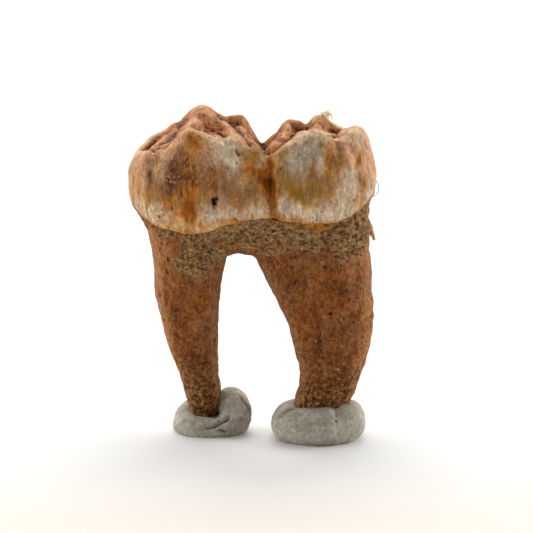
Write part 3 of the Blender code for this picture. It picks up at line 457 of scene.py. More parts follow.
def nearest_seed(points, size, seed):
    """Distance to the nearest of scattered seeds, in units of their spacing, and that seed's random share."""
    rng = np.random.default_rng(seed)
    jitter = rng.random((LATTICE, LATTICE, LATTICE, 3))
    luck = rng.random((LATTICE, LATTICE, LATTICE))
    place = points / np.array(size)
    home = np.floor(place).astype(int)
    nearest = np.full(len(points), np.inf)
    share = np.zeros(len(points))
    for step in np.ndindex(3, 3, 3):
        cell = home + step - 1
        i, j, k = (cell % LATTICE).T
        gap = np.linalg.norm(place - cell - jitter[i, j, k], axis=1)
        closer = gap < nearest
        nearest[closer] = gap[closer]
        share[closer] = luck[i, j, k][closer]
    return nearest, share


def ease(value, low, high):
    """Nothing at low, one at high, and a smooth rise between them; low may lie above high."""
    share = np.clip((value - low) / (high - low), 0.0, 1.0)
    return share * share * (3.0 - 2.0 * share)


def smooth_curve(points, steps, closed=False):
    """Points of a smooth curve through the given ones, whatever each of them lists."""
    points = np.array(points, float)
    if closed:
        padded = np.vstack([points[-1:], points, points[:2]])
    else:
        padded = np.vstack([2.0 * points[0] - points[1], points, 2.0 * points[-1] - points[-2]])
    share = np.arange(steps)[:, None] / steps
    made = []
    for before, start, end, after in zip(padded, padded[1:], padded[2:], padded[3:]):
        slope = end - before
        bend = 2.0 * before - 5.0 * start + 4.0 * end - after
        twist = 3.0 * (start - end) + after - before
        made.append(start + 0.5 * share * (slope + share * (bend + share * twist)))
    if not closed:
        made.append(points[-1:])
    return np.vstack(made)


def distance_to_path(points, path):
    """Distance from each point to a chain of straight runs, and the place along it as a fractional index."""
    nearest = np.full(len(points), np.inf)
    place = np.zeros(len(points))
    for index, (start, end) in enumerate(zip(path, path[1:])):
        run = end - start
        share = np.clip((points - start) @ run / (run @ run), 0.0, 1.0)
        gap = np.linalg.norm(points - start - share[:, None] * run, axis=1)
        closer = gap < nearest
        nearest[closer] = gap[closer]
        place[closer] = index + share[closer]
    return nearest, place


# Meshes

def add_loft(mesh, sections, power):
    """Add a closed body through level sections, listed from the top down, with rounded corners."""
    turn = np.linspace(0.0, 2.0 * np.pi, RING_POINTS, endpoint=False)
    across = np.sign(np.cos(turn)) * np.abs(np.cos(turn)) ** (2.0 / power)
    along = np.sign(np.sin(turn)) * np.abs(np.sin(turn)) ** (2.0 / power)
    rings = []
    for height, left, right, front, back in smooth_curve(sections, STEPS_PER_SECTION):
        x = (left + right) / 2.0 + across * (right - left) / 2.0
        y = (front + back) / 2.0 + along * (back - front) / 2.0
        rings.append([mesh.verts.new((x[i] * MM, y[i] * MM, height * MM)) for i in range(RING_POINTS)])
    for upper, lower in zip(rings, rings[1:]):
        for i in range(RING_POINTS):
            j = (i + 1) % RING_POINTS
            mesh.faces.new((lower[i], lower[j], upper[j], upper[i]))
    mesh.faces.new(rings[0])
    mesh.faces.new(rings[-1][::-1])


def add_ellipsoid(mesh, centre, half_sizes, turn=Matrix.Identity(4)):
    place = Matrix.Translation([v * MM for v in centre])
    size = Matrix.Diagonal([v * MM for v in half_sizes] + [1.0])
    bmesh.ops.create_uvsphere(mesh, u_segments=32, v_segments=16, radius=1.0, matrix=place @ turn @ size)


def add_strand(mesh, points, closed):
    """Add a round strand of changing thickness, made from a bevelled curve."""
    route = smooth_curve(points, STEPS_PER_SECTION, closed)
    curve = bpy.data.curves.new("strand", "CURVE")
    curve.dimensions = "3D"
    curve.bevel_depth = MM
    curve.bevel_resolution = 8
    curve.use_fill_caps = not closed
    spline = curve.splines.new("POLY")
    spline.points.add(len(route) - 1)
    spline.use_cyclic_u = closed
    for point, (x, y, z, radius) in zip(spline.points, route):
        point.co = (x * MM, y * MM, z * MM, 1.0)
        point.radius = radius
    guide = bpy.data.objects.new("strand", curve)
    strand = bpy.data.meshes.new_from_object(guide)
    loose = bmesh.new()
    loose.from_mesh(strand)
    bmesh.ops.remove_doubles(loose, verts=loose.verts, dist=0.00001)
    loose.to_mesh(strand)
    loose.free()
    mesh.from_mesh(strand)
    bpy.data.meshes.remove(strand)
    bpy.data.objects.remove(guide)
    bpy.data.curves.remove(curve)


def mesh_points(mesh):
    points = np.empty((len(mesh.vertices), 3))
    mesh.vertices.foreach_get("co", points.ravel())
    return points / MM


def mesh_normals(mesh):
    normals = np.empty((len(mesh.vertices), 3))
    mesh.vertex_normals.foreach_get("vector", normals.ravel())
    return normals


def set_points(mesh, points):
    mesh.vertices.foreach_set("co", (points * MM).ravel())
    mesh.update()


def push_out(piece, height_at):
    """Move the points along their normals by heights that depend on their places, but not into the floor."""
    points = mesh_points(piece.data)
    points = points + mesh_normals(piece.data) * height_at(points)[:, None]
    points[:, 2] = np.maximum(points[:, 2], 0.0)
    set_points(piece.data, points)


def apply_modifiers(piece):
    """Keep the shape that the modifiers make, and drop the modifiers."""
    depsgraph = bpy.context.evaluated_depsgraph_get()
    made = bpy.data.meshes.new_from_object(piece.evaluated_get(depsgraph), depsgraph=depsgraph)
    old = piece.data
    piece.modifiers.clear()
    piece.data = made
    bpy.data.meshes.remove(old)
    made.name = piece.name


def fuse(piece, grid, smoothing):
    """Make one skin of all the bodies in a piece."""
    remesh = piece.modifiers.new("Fuse", "REMESH")
    remesh.mode = "VOXEL"
    remesh.voxel_size = grid * MM
    smooth = piece.modifiers.new("Soften", "SMOOTH")
    smooth.factor = 0.5
    smooth.iterations = smoothing
    apply_modifiers(piece)


def thin(piece, triangles):
    """Merge small triangles until no more than the given number is left."""
    count = sum(len(face.vertices) - 2 for face in piece.data.polygons)
    if count > triangles:
        decimate = piece.modifiers.new("Thin", "DECIMATE")
        decimate.ratio = triangles / count
        apply_modifiers(piece)


def new_piece(name, mesh):
    data = bpy.data.meshes.new(name)
    mesh.to_mesh(data)
    mesh.free()
    piece = bpy.data.objects.new(name, data)
    bpy.context.scene.collection.objects.link(piece)
    return piece


def dress(piece, material, slot_name, *nodes):
    """Give a finished piece its material and say where it belongs."""
    piece.data.materials.clear()
    piece.data.materials.append(material)
    piece.data.shade_smooth()
    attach(piece, "root")
    if nodes:
        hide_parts(*nodes)


def store(mesh, name, values):
    """Keep a number for each point of the mesh, for the material to read."""
    layer = mesh.attributes.new(name, "FLOAT", "POINT")
    layer.data.foreach_set("value", np.asarray(values, np.float32))


def hollowness(mesh, rounds):
    """Millimetres that each point lies below its neighbourhood: positive in a groove, negative on a ridge."""
    points = mesh_points(mesh)
    ends = np.empty(2 * len(mesh.edges), int)
    mesh.edges.foreach_get("vertices", ends)
    first, second = ends.reshape(-1, 2).T
    count = len(points)
    links = np.bincount(first, minlength=count) + np.bincount(second, minlength=count)
    smooth = points.copy()
    for _ in range(rounds):
        mean = np.empty_like(smooth)
        for axis in range(3):
            along = smooth[:, axis]
            total = np.bincount(first, along[second], count) + np.bincount(second, along[first], count)
            mean[:, axis] = total / links
        smooth = 0.5 * (smooth + mean)
    return np.einsum("ij,ij->i", smooth - points, mesh_normals(mesh))


# Form of the tooth

def chewing_height(x, y):
    """Height of the chewing surface over each place of the crown."""
    plan = np.column_stack([x, y])
    total = np.ones(len(x))
    for fall, *points in FOLDS:
        ridge = smooth_curve(points, STEPS_PER_RIDGE_POINT)
        gap, place = distance_to_path(plan, ridge[:, :2])
        index = np.arange(len(ridge))
        top = np.interp(place, index, ridge[:, 2])
        tip = np.interp(place, index, ridge[:, 3])
        height = top - fall * (np.sqrt(gap ** 2 + tip ** 2) - tip)
        total += np.exp(CREASE_SHARPNESS * (height - BASIN_HEIGHT))
    return BASIN_HEIGHT + np.log(total) / CREASE_SHARPNESS


def wall_height(x, y):
    """Height that the outer wall of the crown allows at each place."""
    along = (np.abs(x) / OUTLINE_HALF_LENGTH) ** CROWN_POWER
    across = (np.abs(y) / OUTLINE_HALF_WIDTH) ** CROWN_POWER
    reach = np.clip((along + across) ** (1.0 / CROWN_POWER), 0.0, 1.0)
    endness = along / (along + across + 1e-9)
    return RELIEF_BASE + (WALL_RISE + END_WALL_RISE * endness) * np.sqrt(1.0 - reach)


def raise_cusps(points):
    """Stretch the top of the blank crown up to the chewing surface."""
    x, y, z = points.T
    top = np.minimum(chewing_height(x, y), wall_height(x, y))
    share = (z - RELIEF_BASE) / (BLANK_TOP - RELIEF_BASE)
    raised = np.where(share > 0.0, RELIEF_BASE + share * (top - RELIEF_BASE), z)
    return np.column_stack([x, y, raised])


def furrow_depth(points, furrows):
    """Depth of all furrows together at each point."""
    depth = np.zeros(len(points))
    for width, *route in furrows:
        path = smooth_curve(route, STEPS_PER_RIDGE_POINT)
        gap, place = distance_to_path(points, path[:, :3])
        deep = np.interp(place, np.arange(len(path)), path[:, 3])
        depth += deep * np.exp(-((gap / width) ** 2))
    return depth


def pit_depth(points, pits):
    """Depth of single pits together at each point."""
    depth = np.zeros(len(points))
    for x, y, z, radius, deep in pits:
        gap = np.linalg.norm((points - (x, y, z)) * (1.0, 0.4, 1.0), axis=1)
        depth += deep * np.exp(-((gap / radius) ** 2))
    return depth


def over_enamel_edge(points):
    """Height over the enamel's lower edge, which wanders a little."""
    edge = np.array(ENAMEL_EDGE)
    wander = ENAMEL_EDGE_WOBBLE * layered_noise(points, 1.6, 3, 40)
    return points[:, 2] - np.interp(points[:, 0], edge[:, 0], edge[:, 1]) + wander


def enamel_step(over):
    """How far the enamel stands out over the root at each height over its edge."""
    rise = ease(over, -ENAMEL_STEP_SPAN / 2.0, ENAMEL_STEP_SPAN / 2.0)
    fade = np.clip(1.0 - over / ENAMEL_STEP_FADE, 0.0, 1.0)
    return ENAMEL_STEP * rise * fade


def crest_reach(points):
    """One along the ring of crests round the chewing surface, less inside it and more outside."""
    along = (np.abs(points[:, 0] + 0.4) / CREST_HALF_LENGTH) ** CROWN_POWER
    across = (np.abs(points[:, 1] + 0.1) / CREST_HALF_WIDTH) ** CROWN_POWER
    return (along + across) ** (1.0 / CROWN_POWER)


def table_share(points):
    """One on the chewing surface and nothing on the outer wall."""
    reach = crest_reach(points) + 0.03 * layered_noise(points, 1.2, 2, 30)
    return ease(reach, 1.04, 0.98) * ease(points[:, 2], RELIEF_BASE + 1.0, RELIEF_BASE + 2.0)


def porous_share(points, over):
    """One where the root under the crown is porous bone, and nothing elsewhere."""
    x, y, z = points.T
    below = -over
    wander = layered_noise(points, 2.2, 3, 50) + 0.5 * layered_noise(points, 0.7, 2, 54)
    reach = np.interp(x, *zip(*POROUS_DEPTH))
    band = ease(below, -0.05, 0.25) * ease(reach + wander - below, -2.0, 2.0)
    away = [((x - at_x) / half_width) ** 2 + ((z - at_z) / half_height) ** 2
            for at_x, at_z, half_width, half_height in POROUS_PATCHES]
    patch = ease(1.25 - np.minimum(*away) + 0.9 * wander, -1.2, 1.3)
    return np.clip(np.maximum(band, patch * ease(below, 0.0, 0.2)), 0.0, 1.0)


def spongy_holes(points):
    """Depth, up to one, of the small winding holes of the porous bone."""
    bent = points + 0.25 * np.column_stack([layered_noise(points, 0.8, 2, seed) for seed in (14, 15, 16)])
    wide = np.abs(soft_noise(bent, (0.6, 0.6, 0.32), 17))
    narrow = np.abs(soft_noise(bent, (0.36, 0.36, 0.2), 18))
    return ease(wide + 0.5 * narrow, 0.38, 0.7)


def fine_relief(points):
    """Small forms that the solid leaves out, as a height along the surface's normal."""
    over = over_enamel_edge(points)
    enamel = ease(over, -0.1, 0.1)
    root = 1.0 - enamel
    table = table_share(points)
    wall = enamel * (1.0 - table)
    porous = porous_share(points, over)

    bent = points + 0.5 * np.column_stack([layered_noise(points, 1.5, 2, seed) for seed in (1, 2, 3)])
    wrinkles = 0.2 - np.abs(soft_noise(bent, (1.7, 1.7, 1.7), 4))
    small_wrinkles = 0.2 - np.abs(soft_noise(bent, (0.6, 0.6, 0.8), 5))
    lower = ease(points[:, 2], 39.6, 37.8)
    swells = layered_noise(points, 2.6, 2, 13)
    folded = (0.16 + 0.2 * lower) * wrinkles + (0.12 + 0.06 * lower) * small_wrinkles
    height = table * (0.16 * swells + folded)

    flutes = soft_noise(points, (1.3, 1.3, 6.0), 6)
    fine_flutes = soft_noise(points, (0.45, 0.45, 3.0), 7)
    height += wall * (0.08 * flutes + 0.05 * fine_flutes + 0.05 * layered_noise(points, 0.8, 3, 8))

    lumps = layered_noise(points, 2.4, 3, 9)
    fibres = soft_noise(points, (0.4, 0.4, 2.4), 10)
    grain = layered_noise(points, (0.5, 0.5, 0.75), 2, 11)
    low = ease(points[:, 2], 13.0, 4.0)
    height += root * (0.1 * lumps + (0.03 + 0.05 * low) * fibres + (0.07 + 0.06 * low) * grain)
    gap, luck = nearest_seed(points, 1.0, 12)
    height -= root * 0.2 * (luck < 0.4) * np.exp(-((gap / 0.2) ** 2))
    height -= ease(porous, 0.2, 0.7) * (0.34 * spongy_holes(points) - 0.06 * grain)

    # Shelves that follow the arch of the fork.
    arch = np.hypot(points[:, 0] - FORK[0], 1.1 * (points[:, 2] - FORK[1]))
    shelf = ease(arch, 8.5, 6.0) * ease(points[:, 2], FORK[1], FORK[1] + 2.5) * root
    height += 0.07 * shelf * np.sin(7.0 * arch + 2.5 * lumps)

    height += enamel_step(over)
    height -= furrow_depth(points, FURROWS) + furrow_depth(points, CREASES)
    height -= pit_depth(points, ENAMEL_PITS) + pit_depth(points, ROOT_PITS) - pit_depth(points, ROOT_BUMPS)
    return height


def stain_share(points, strokes):
    """How strongly the strokes of one kind of stain show at each point."""
    x = points[:, 0] + 0.35 * layered_noise(points, (1.0, 1.0, 2.5), 3, 20)
    z = points[:, 2] + 0.7 * layered_noise(points, (0.7, 0.7, 2.0), 3, 24)
    clear = np.ones(len(points))
    for at_x, at_z, half_width, half_height, strength in strokes:
        reach = ((x - at_x) / half_width) ** 2 + ((z - at_z) / half_height) ** 2
        clear *= 1.0 - strength * np.exp(-0.6 * reach)
    return 1.0 - clear


def paint_molar(mesh):
    """Store what the tooth's material reads."""
    points = mesh_points(mesh)
    over = over_enamel_edge(points)
    table = table_share(points)
    cheek = ease(-points[:, 1], -1.5, 1.5)
    porous = porous_share(points, over)
    sideways = np.abs(mesh_normals(mesh)[:, 0])
    ochre_x, ochre_half_width, ochre_depth, ochre_half_depth = OCHRE_SPOT
    marks = sum(pit_depth(points, pits) for pits in (ENAMEL_PITS, ROOT_PITS, ROOT_BUMPS))
    layers = {
        "over_enamel": np.clip(over, -5.0, 5.0),
        "table": table,
        "crest": np.exp(-(((crest_reach(points) - 1.03) / 0.042) ** 2)) * ease(points[:, 2], 35.0, 36.5),
        "porous": porous,
        "hole": porous * spongy_holes(points),
        # Hollowness, which the material turns into painted shade in grooves and hollows and painted highlight
        # on ridges.
        "groove": hollowness(mesh, 6),
        "hollow": hollowness(mesh, 60),
        # How far the surface faces sideways, for painted light on the sides of the roots and painted shade
        # along their outline.
        "side": ease(sideways, 0.45, 0.95),
        "edge": ease(sideways, 0.93, 1.0),
        "ochre": cheek * np.exp(-(((points[:, 0] - ochre_x) / ochre_half_width) ** 4)
                                - (((over + ochre_depth) / ochre_half_depth) ** 4)),
        "crack": np.clip(furrow_depth(points, CREASES) / 0.08, 0.0, 1.0),
        # Pits and small dark bumps: painted shade in the pits, the bumps' own dark colour.
        "pit_shade_and_bump": np.clip(marks / 0.2, 0.0, 1.0),
    }
    for name, strokes in CHEEK_STAINS.items():
        front = cheek * stain_share(points, strokes)
        back = (1.0 - cheek) * stain_share(points, TONGUE_STAINS[name])
        layers[name] = (front + back) * (1.0 - table)
    for name, values in layers.items():
        store(mesh, name, values)


def make_molar():
    mesh = bmesh.new()
    add_loft(mesh, LEFT_ROOT, ROOT_POWER)
    add_loft(mesh, RIGHT_ROOT, ROOT_POWER)
    add_loft(mesh, TRUNK, CROWN_POWER)
    add_loft(mesh, CROWN, CROWN_POWER)
    molar = new_piece("tooth", mesh)
    fuse(molar, BLANK_GRID, 2)
    set_points(molar.data, raise_cusps(mesh_points(molar.data)))
    fuse(molar, MOLAR_GRID, 1)
    push_out(molar, fine_relief)
    thin(molar, MOLAR_TRIANGLES)
    paint_molar(molar.data)
    dress(molar, tooth_material(), "tooth", "molar")
    return molar


# Small pieces that cling to the tooth

def finish_scrap(name, mesh, smoothing, grain_size, seed, material):
    """Fuse the bodies of a small piece and roughen it."""
    scrap = new_piece(name, mesh)
    fuse(scrap, SCRAP_GRID, smoothing)
    push_out(scrap, lambda points: SCRAP_GRAIN * layered_noise(points, grain_size, 2, seed))
    dress(scrap, material, "tooth")


def make_crumb():
    """Pale crumb on the rear cusp: a cluster of grains with two little legs."""
    mesh = bmesh.new()
    for centre, half_sizes, tilt in CRUMB_GRAINS:
        add_ellipsoid(mesh, centre, half_sizes, Matrix.Rotation(np.radians(tilt), 4, "Y"))
    wax = {"Subsurface Weight": 1.0, "Subsurface Radius": (1.0, 0.9, 0.6), "Subsurface Scale": 0.8 * MM}
    material = grainy_material("crumb_pale", "crumb", (0.78, 1.08), (0.3, 0.55), wax)
    finish_scrap("crumb", mesh, 2, 0.3, 70, material)


def make_flake():
    """Thin flake that stands off the rear end under the crown, with a forked lower end."""
    mesh = bmesh.new()
    for route in FLAKE_BLADES:
        add_strand(mesh, route, False)
    finish_scrap("flake", mesh, 1, (0.3, 0.3, 1.0), 72, flake_material())


def make_hair():
    mesh = bmesh.new()
    add_strand(mesh, HAIR_ROUTE, False)
    dress(new_piece("hair", mesh), grainy_material("hair_grey", "hair", (0.8, 1.2), (0.4, 0.6)), "tooth")


def make_crystals(molar):
    """Small thin plates that stand on the brown patch of the front lobe, joined in one piece."""
    mesh = bmesh.new()
    surface = mesh_points(molar.data)
    for (x, z, half_length, half_width), (roll, tilt) in CRYSTALS:
        near = np.hypot(surface[:, 0] - x, surface[:, 2] - z) < CRYSTAL_REACH
        place = Matrix.Translation(Vector((x, float(surface[near, 1].min()), z)) * MM)
        turn = Matrix.Rotation(np.radians(roll), 4, "Y") @ Matrix.Rotation(np.radians(tilt), 4, "X")
        size = Matrix.Diagonal((half_length * MM, half_width * MM, CRYSTAL_THICKNESS * MM, 1.0))
        bmesh.ops.create_cone(mesh, cap_ends=True, segments=5, radius1=1.0, radius2=0.6, depth=2.0,
                              matrix=place @ turn @ size)
    material = grainy_material("crystal_pale", "crystal", (0.6, 1.2), (0.3, 0.6))
    dress(new_piece("crystals", mesh), material, "tooth")


# Form of the putty

def putty_relief(points, furrows):
    dents = 0.14 * layered_noise(points, 3.0, 3, 60) + 0.06 * layered_noise(points, 0.8, 3, 64)
    return dents - furrow_depth(points, furrows)


def make_putty(side, strands, base, furrows, material):
    mesh = bmesh.new()
    for points, closed in strands:
        add_strand(mesh, points, closed)
    add_ellipsoid(mesh, *base)
    putty = new_piece("putty_" + side, mesh)
    fuse(putty, PUTTY_GRID, 12)
    push_out(putty, lambda points: putty_relief(points, furrows))
    thin(putty, PUTTY_TRIANGLES)
    # Hollowness, for painted shade in the creases.
    store(putty.data, "groove", hollowness(putty.data, 12))
    dress(putty, material, "putty", "putty_foot_" + side)


# Materials

class Shader:
    """Short ways to add nodes to one material."""

    def __init__(self, name):
        self.material = bpy.data.materials.new(name)
        self.material.use_nodes = True
        self.tree = self.material.node_tree
        place = self.node("TexCoord", {}).outputs["Object"]
        self.place = self.node("VectorMath", {0: place, "Scale": 1.0 / MM}, operation="SCALE").outputs[0]

    def fill(self, node, inputs):
        """Give inputs of a node a plain value or a link each."""
        for key, value in inputs.items():
            if isinstance(value, bpy.types.NodeSocket):
                self.tree.links.new(value, node.inputs[key])
            else:
                node.inputs[key].default_value = value

    def node(self, kind, inputs, **settings):
        node = self.tree.nodes.new("ShaderNode" + kind)
        for key, value in settings.items():
            setattr(node, key, value)
        self.fill(node, inputs)
        return node

    def finished(self, looks):
        """The material, with these looks on its surface."""
        self.fill(self.tree.nodes["Principled BSDF"], looks)
        return self.material

    def layer(self, name):
        return self.node("Attribute", {}, attribute_name=name).outputs["Fac"]

    def axis(self, name):
        """Place along one axis in millimetres."""
        return self.node("SeparateXYZ", {0: self.place}).outputs[name]

    def noise(self, size, detail, rough, bend=0.0):
        """Noise from about 0 to 1, with spots of this size in millimetres, which may differ by axis."""
        sizes = size if isinstance(size, tuple) else (size, size, size)
        place = self.node("VectorMath", {0: self.place, 1: sizes}, operation="DIVIDE").outputs[0]
        looks = {"Vector": place, "Scale": 1.0, "Detail": detail, "Roughness": rough, "Distortion": bend}
        return self.node("TexNoise", looks).outputs["Fac"]

    def math(self, operation, *values):
        return self.node("Math", dict(enumerate(values)), operation=operation).outputs[0]

    def times(self, first, second):
        return self.math("MULTIPLY", first, second)

    def rise(self, value, low, high):
        """A smooth step from nothing at low to one at high; high may lie below low."""
        inputs = {"Value": value, "From Min": low, "From Max": high}
        return self.node("MapRange", inputs, interpolation_type="SMOOTHSTEP").outputs["Result"]

    def mix(self, share, first, second):
        """A blend of two colours, each a name of the table or a socket."""
        first, second = (colour(tone) if isinstance(tone, str) else tone for tone in (first, second))
        return self.node("Mix", {0: share, 6: first, 7: second}, data_type="RGBA").outputs[2]

    def tint(self, made, name, share, strength=1.0):
        """A colour with some of another one over it."""
        return self.mix(share if strength == 1.0 else self.times(share, strength), made, name)

    def coats(self, made, *rows):
        """Lay colours over one another: name, pattern, where it begins, where it is full, and strength."""
        for name, pattern, low, high, strength in rows:
            made = self.tint(made, name, self.rise(pattern, low, high), strength)
        return made

    def blend(self, share, first, second):
        """A blend of two numbers."""
        return self.node("Mix", {0: share, 2: first, 3: second}, data_type="FLOAT").outputs[0]

    def shade(self, tone, pattern, darkest, lightest):
        """A colour made darker and lighter by a pattern that runs from about a quarter to three quarters."""
        inputs = {"Value": pattern, "From Min": 0.25, "From Max": 0.75, "To Min": darkest, "To Max": lightest}
        level = self.node("MapRange", inputs, clamp=False).outputs["Result"]
        tone = colour(tone)[:3] if isinstance(tone, str) else tone
        return self.node("VectorMath", {0: tone, "Scale": level}, operation="SCALE").outputs[0]

    def bump(self, height, depth):
        """Fine relief, with the depth in millimetres."""
        return self.node("Bump", {"Height": height, "Distance": depth * MM}).outputs["Normal"]

    def patchy(self, name, pattern, spread):
        """A stain's share made stronger and weaker by a pattern, with soft edges."""
        pushed = self.math("MULTIPLY_ADD", pattern, spread, 1.0 - 0.5 * spread)
        return self.rise(self.times(self.layer(name), pushed), 0.0, 1.0)


def enamel_colour(shader):
    over = shader.layer("over_enamel")
    streaks = shader.noise((0.7, 0.7, 3.0), 5, 0.62)
    fine_streaks = shader.noise((0.36, 0.36, 1.5), 4, 0.65)
    clouds = shader.noise((2.0, 2.0, 3.4), 5, 0.6)
    mottle = shader.noise((0.8, 0.8, 1.5), 5, 0.68)
    speckle = shader.noise((0.34, 0.34, 0.5), 4, 0.7)
    spots = shader.noise((0.5, 0.5, 0.9), 4, 0.7)
    veins = shader.blend(0.5, streaks, mottle)

    made = shader.mix(shader.rise(clouds, 0.4, 0.62), "enamel", "enamel_warm")
    for name, pattern, spread in (("rose", clouds, 1.5), ("slate", streaks, 1.5), ("chalk", veins, 2.0)):
        made = shader.tint(made, name, shader.patchy(name, pattern, spread))
    made = shader.coats(made, ("chalk", fine_streaks, 0.48, 0.7, 0.25),
                        ("enamel_warm", streaks, 0.48, 0.66, 0.4))
    for name, spread in (("tan", 3.0), ("olive", 3.4)):
        made = shader.tint(made, name, shader.patchy(name, veins, spread))

    # Amber in two tones, and dark specks that grow together where their stain is strong.
    glaze = shader.patchy("amber", veins, 2.8)
    specks = shader.math("MULTIPLY_ADD", shader.layer("umber"), 0.26, spots)
    made = shader.coats(made, ("honey", glaze, 0.0, 0.7, 1.0), ("amber", glaze, 0.4, 0.95, 1.0),
                        ("umber", specks, 0.62, 0.74, 0.8))
    shades = ((fine_streaks, 0.36, 0.64, 0.95, 1.04), (speckle, 0.38, 0.62, 0.9, 1.07),
              (mottle, 0.36, 0.64, 0.9, 1.1))
    for pattern, low, high, darkest, lightest in shades:
        made = shader.shade(made, shader.rise(pattern, low, high), darkest, lightest)

    # More specks low on the wall, a yellow rim, tan in the cracks, worn crests, and painted shade in the
    # grooves.
    few = shader.blend(shader.rise(over, 4.5, 1.0), 0.3, 0.7)
    made = shader.tint(made, "umber", shader.times(shader.rise(spots, 0.59, 0.67), few))
    rim = shader.times(shader.rise(over, 0.5, 0.05), shader.rise(mottle, 0.35, 0.6))
    made = shader.tint(made, "honey", rim, 0.5)
    made = shader.tint(made, "tan", shader.layer("crack"), 0.5)
    made = shader.tint(made, "crest", shader.times(shader.layer("crest"), shader.rise(mottle, 0.3, 0.6)), 0.9)
    return shader.coats(made, ("groove", shader.layer("groove"), 0.03, 0.16, 0.6))


def table_colour(shader):
    clouds = shader.noise(1.8, 5, 0.65)
    patches = shader.noise(1.1, 4, 0.7)
    hollow = shader.layer("hollow")
    groove = shader.layer("groove")
    # Painted shade in the hollows and grooves of the chewing surface, and painted highlight on its ridges.
    made = shader.coats(
        shader.mix(shader.rise(clouds, 0.42, 0.6), "table", "table_warm"),
        ("table_painted_highlight", hollow, 0.0, -0.26, 1.0), ("honey", patches, 0.5, 0.62, 0.7),
        ("table_painted_shade", hollow, 0.0, 0.2, 0.92), ("table_painted_shade", groove, 0.004, 0.04, 0.7),
        ("groove", groove, 0.03, 0.09, 0.6), ("table_painted_highlight", groove, -0.005, -0.05, 0.5))
    worn = shader.times(shader.layer("crest"), shader.rise(clouds, 0.35, 0.6))
    return shader.shade(shader.tint(made, "crest", worn, 0.6), shader.noise(0.4, 4, 0.72), 0.7, 1.28)


def porous_colour(shader):
    clouds = shader.noise((1.8, 1.8, 1.2), 4, 0.6)
    fine = shader.noise((0.5, 0.5, 0.26), 4, 0.78, 0.6)
    # Pale grain, dark specks, and painted shade in the holes.
    return shader.coats(
        shader.mix(shader.rise(clouds, 0.42, 0.6), "porous", "porous_grey"),
        ("porous_pale", fine, 0.5, 0.62, 1.0), ("root_speck_and_shade", fine, 0.44, 0.34, 0.65),
        ("pit_shade_and_bump", shader.layer("hole"), 0.5, 1.0, 0.55))


def root_colour(shader):
    clouds = shader.noise((3.4, 3.4, 3.8), 5, 0.6)
    patches = shader.noise((2.6, 2.6, 2.8), 5, 0.65)
    fibres = shader.noise((0.5, 0.5, 1.2), 5, 0.7)
    grain = shader.noise((0.46, 0.46, 0.52), 5, 0.75)
    specks = shader.noise(0.5, 3, 0.7)
    flecks = shader.noise(0.62, 3, 0.65)
    rosy = shader.noise((3.4, 3.4, 6.0), 3, 0.6)
    groove = shader.layer("groove")
    low = shader.rise(shader.axis("Z"), 13.0, 3.0)
    rough = shader.blend(low, 0.18, 0.95)

    made = shader.coats(
        shader.mix(shader.rise(clouds, 0.4, 0.62), "root", "root_dark_and_shade"),
        ("root_rose", rosy, 0.46, 0.66, 0.6), ("root_olive", patches, 0.56, 0.68, 0.5))
    made = shader.tint(made, "root_tip", low, 0.8)
    # Painted light: the sides that face left and right are paler.
    made = shader.tint(made, "root_pale_and_highlight", shader.layer("side"), 0.7)
    made = shader.coats(made, ("root_pale_and_highlight", fibres, 0.5, 0.66, 0.25))
    made = shader.tint(made, "root_grey", shader.times(shader.rise(grain, 0.52, 0.62), rough))
    made = shader.shade(made, shader.rise(grain, 0.36, 0.62), 0.84, 1.08)
    # Painted shade along the outline, where the surface turns fully sideways.
    made = shader.tint(made, "root_dark_and_shade", shader.layer("edge"), 0.6)
    dots = shader.times(shader.rise(specks, 0.59, 0.66), shader.blend(low, 0.75, 0.95))
    made = shader.tint(made, "root_speck_and_shade", dots)
    made = shader.tint(made, "root_speck_and_shade", shader.times(shader.rise(grain, 0.46, 0.38), rough), 0.9)
    # Pale flecks, then painted highlight on ridges and painted shade in grooves.
    made = shader.coats(
        made, ("root_fleck", flecks, 0.67, 0.73, 0.8), ("root_pale_and_highlight", groove, -0.02, -0.1, 0.4),
        ("root_speck_and_shade", groove, 0.025, 0.1, 0.8))
    made = shader.tint(made, "root_speck_and_shade", shader.layer("crack"), 0.8)

    # The porous bone begins in a ragged line.
    share = shader.math("SUBTRACT", shader.layer("porous"), 1.2)
    ragged = shader.math("MULTIPLY_ADD", shader.blend(0.5, fibres, patches), 2.4, share)
    made = shader.mix(shader.rise(ragged, 0.1, 0.85), made, porous_colour(shader))
    glow = shader.shade(shader.mix(shader.rise(grain, 0.4, 0.6), "ochre", "honey"), grain, 0.8, 1.2)
    return shader.tint(made, glow, shader.layer("ochre"), 0.9)


def tooth_material():
    shader = Shader("tooth_fossil")
    enamel = shader.rise(shader.layer("over_enamel"), -0.06, 0.06)
    on_table = shader.rise(shader.layer("table"), 0.35, 0.65)
    outside = shader.mix(on_table, enamel_colour(shader), table_colour(shader))
    made = shader.mix(enamel, root_colour(shader), outside)
    pitted = shader.times(shader.noise((0.34, 0.34, 0.42), 4, 0.7), shader.blend(enamel, 1.0, 0.4))
    gloss = shader.blend(shader.noise((0.3, 0.3, 0.6), 4, 0.65), 0.24, 0.44)
    # The pit colour is painted shade in the pits, and the colour of the small dark bumps.
    return shader.finished({
        "Base Color": shader.tint(made, "pit_shade_and_bump", shader.layer("pit_shade_and_bump")),
        "Roughness": shader.blend(enamel, 0.8, gloss), "Normal": shader.bump(pitted, 0.45),
        "Specular IOR Level": 0.12, "Subsurface Weight": 0.08,
        "Subsurface Radius": (1.0, 0.5, 0.25), "Subsurface Scale": 0.5 * MM,
    })


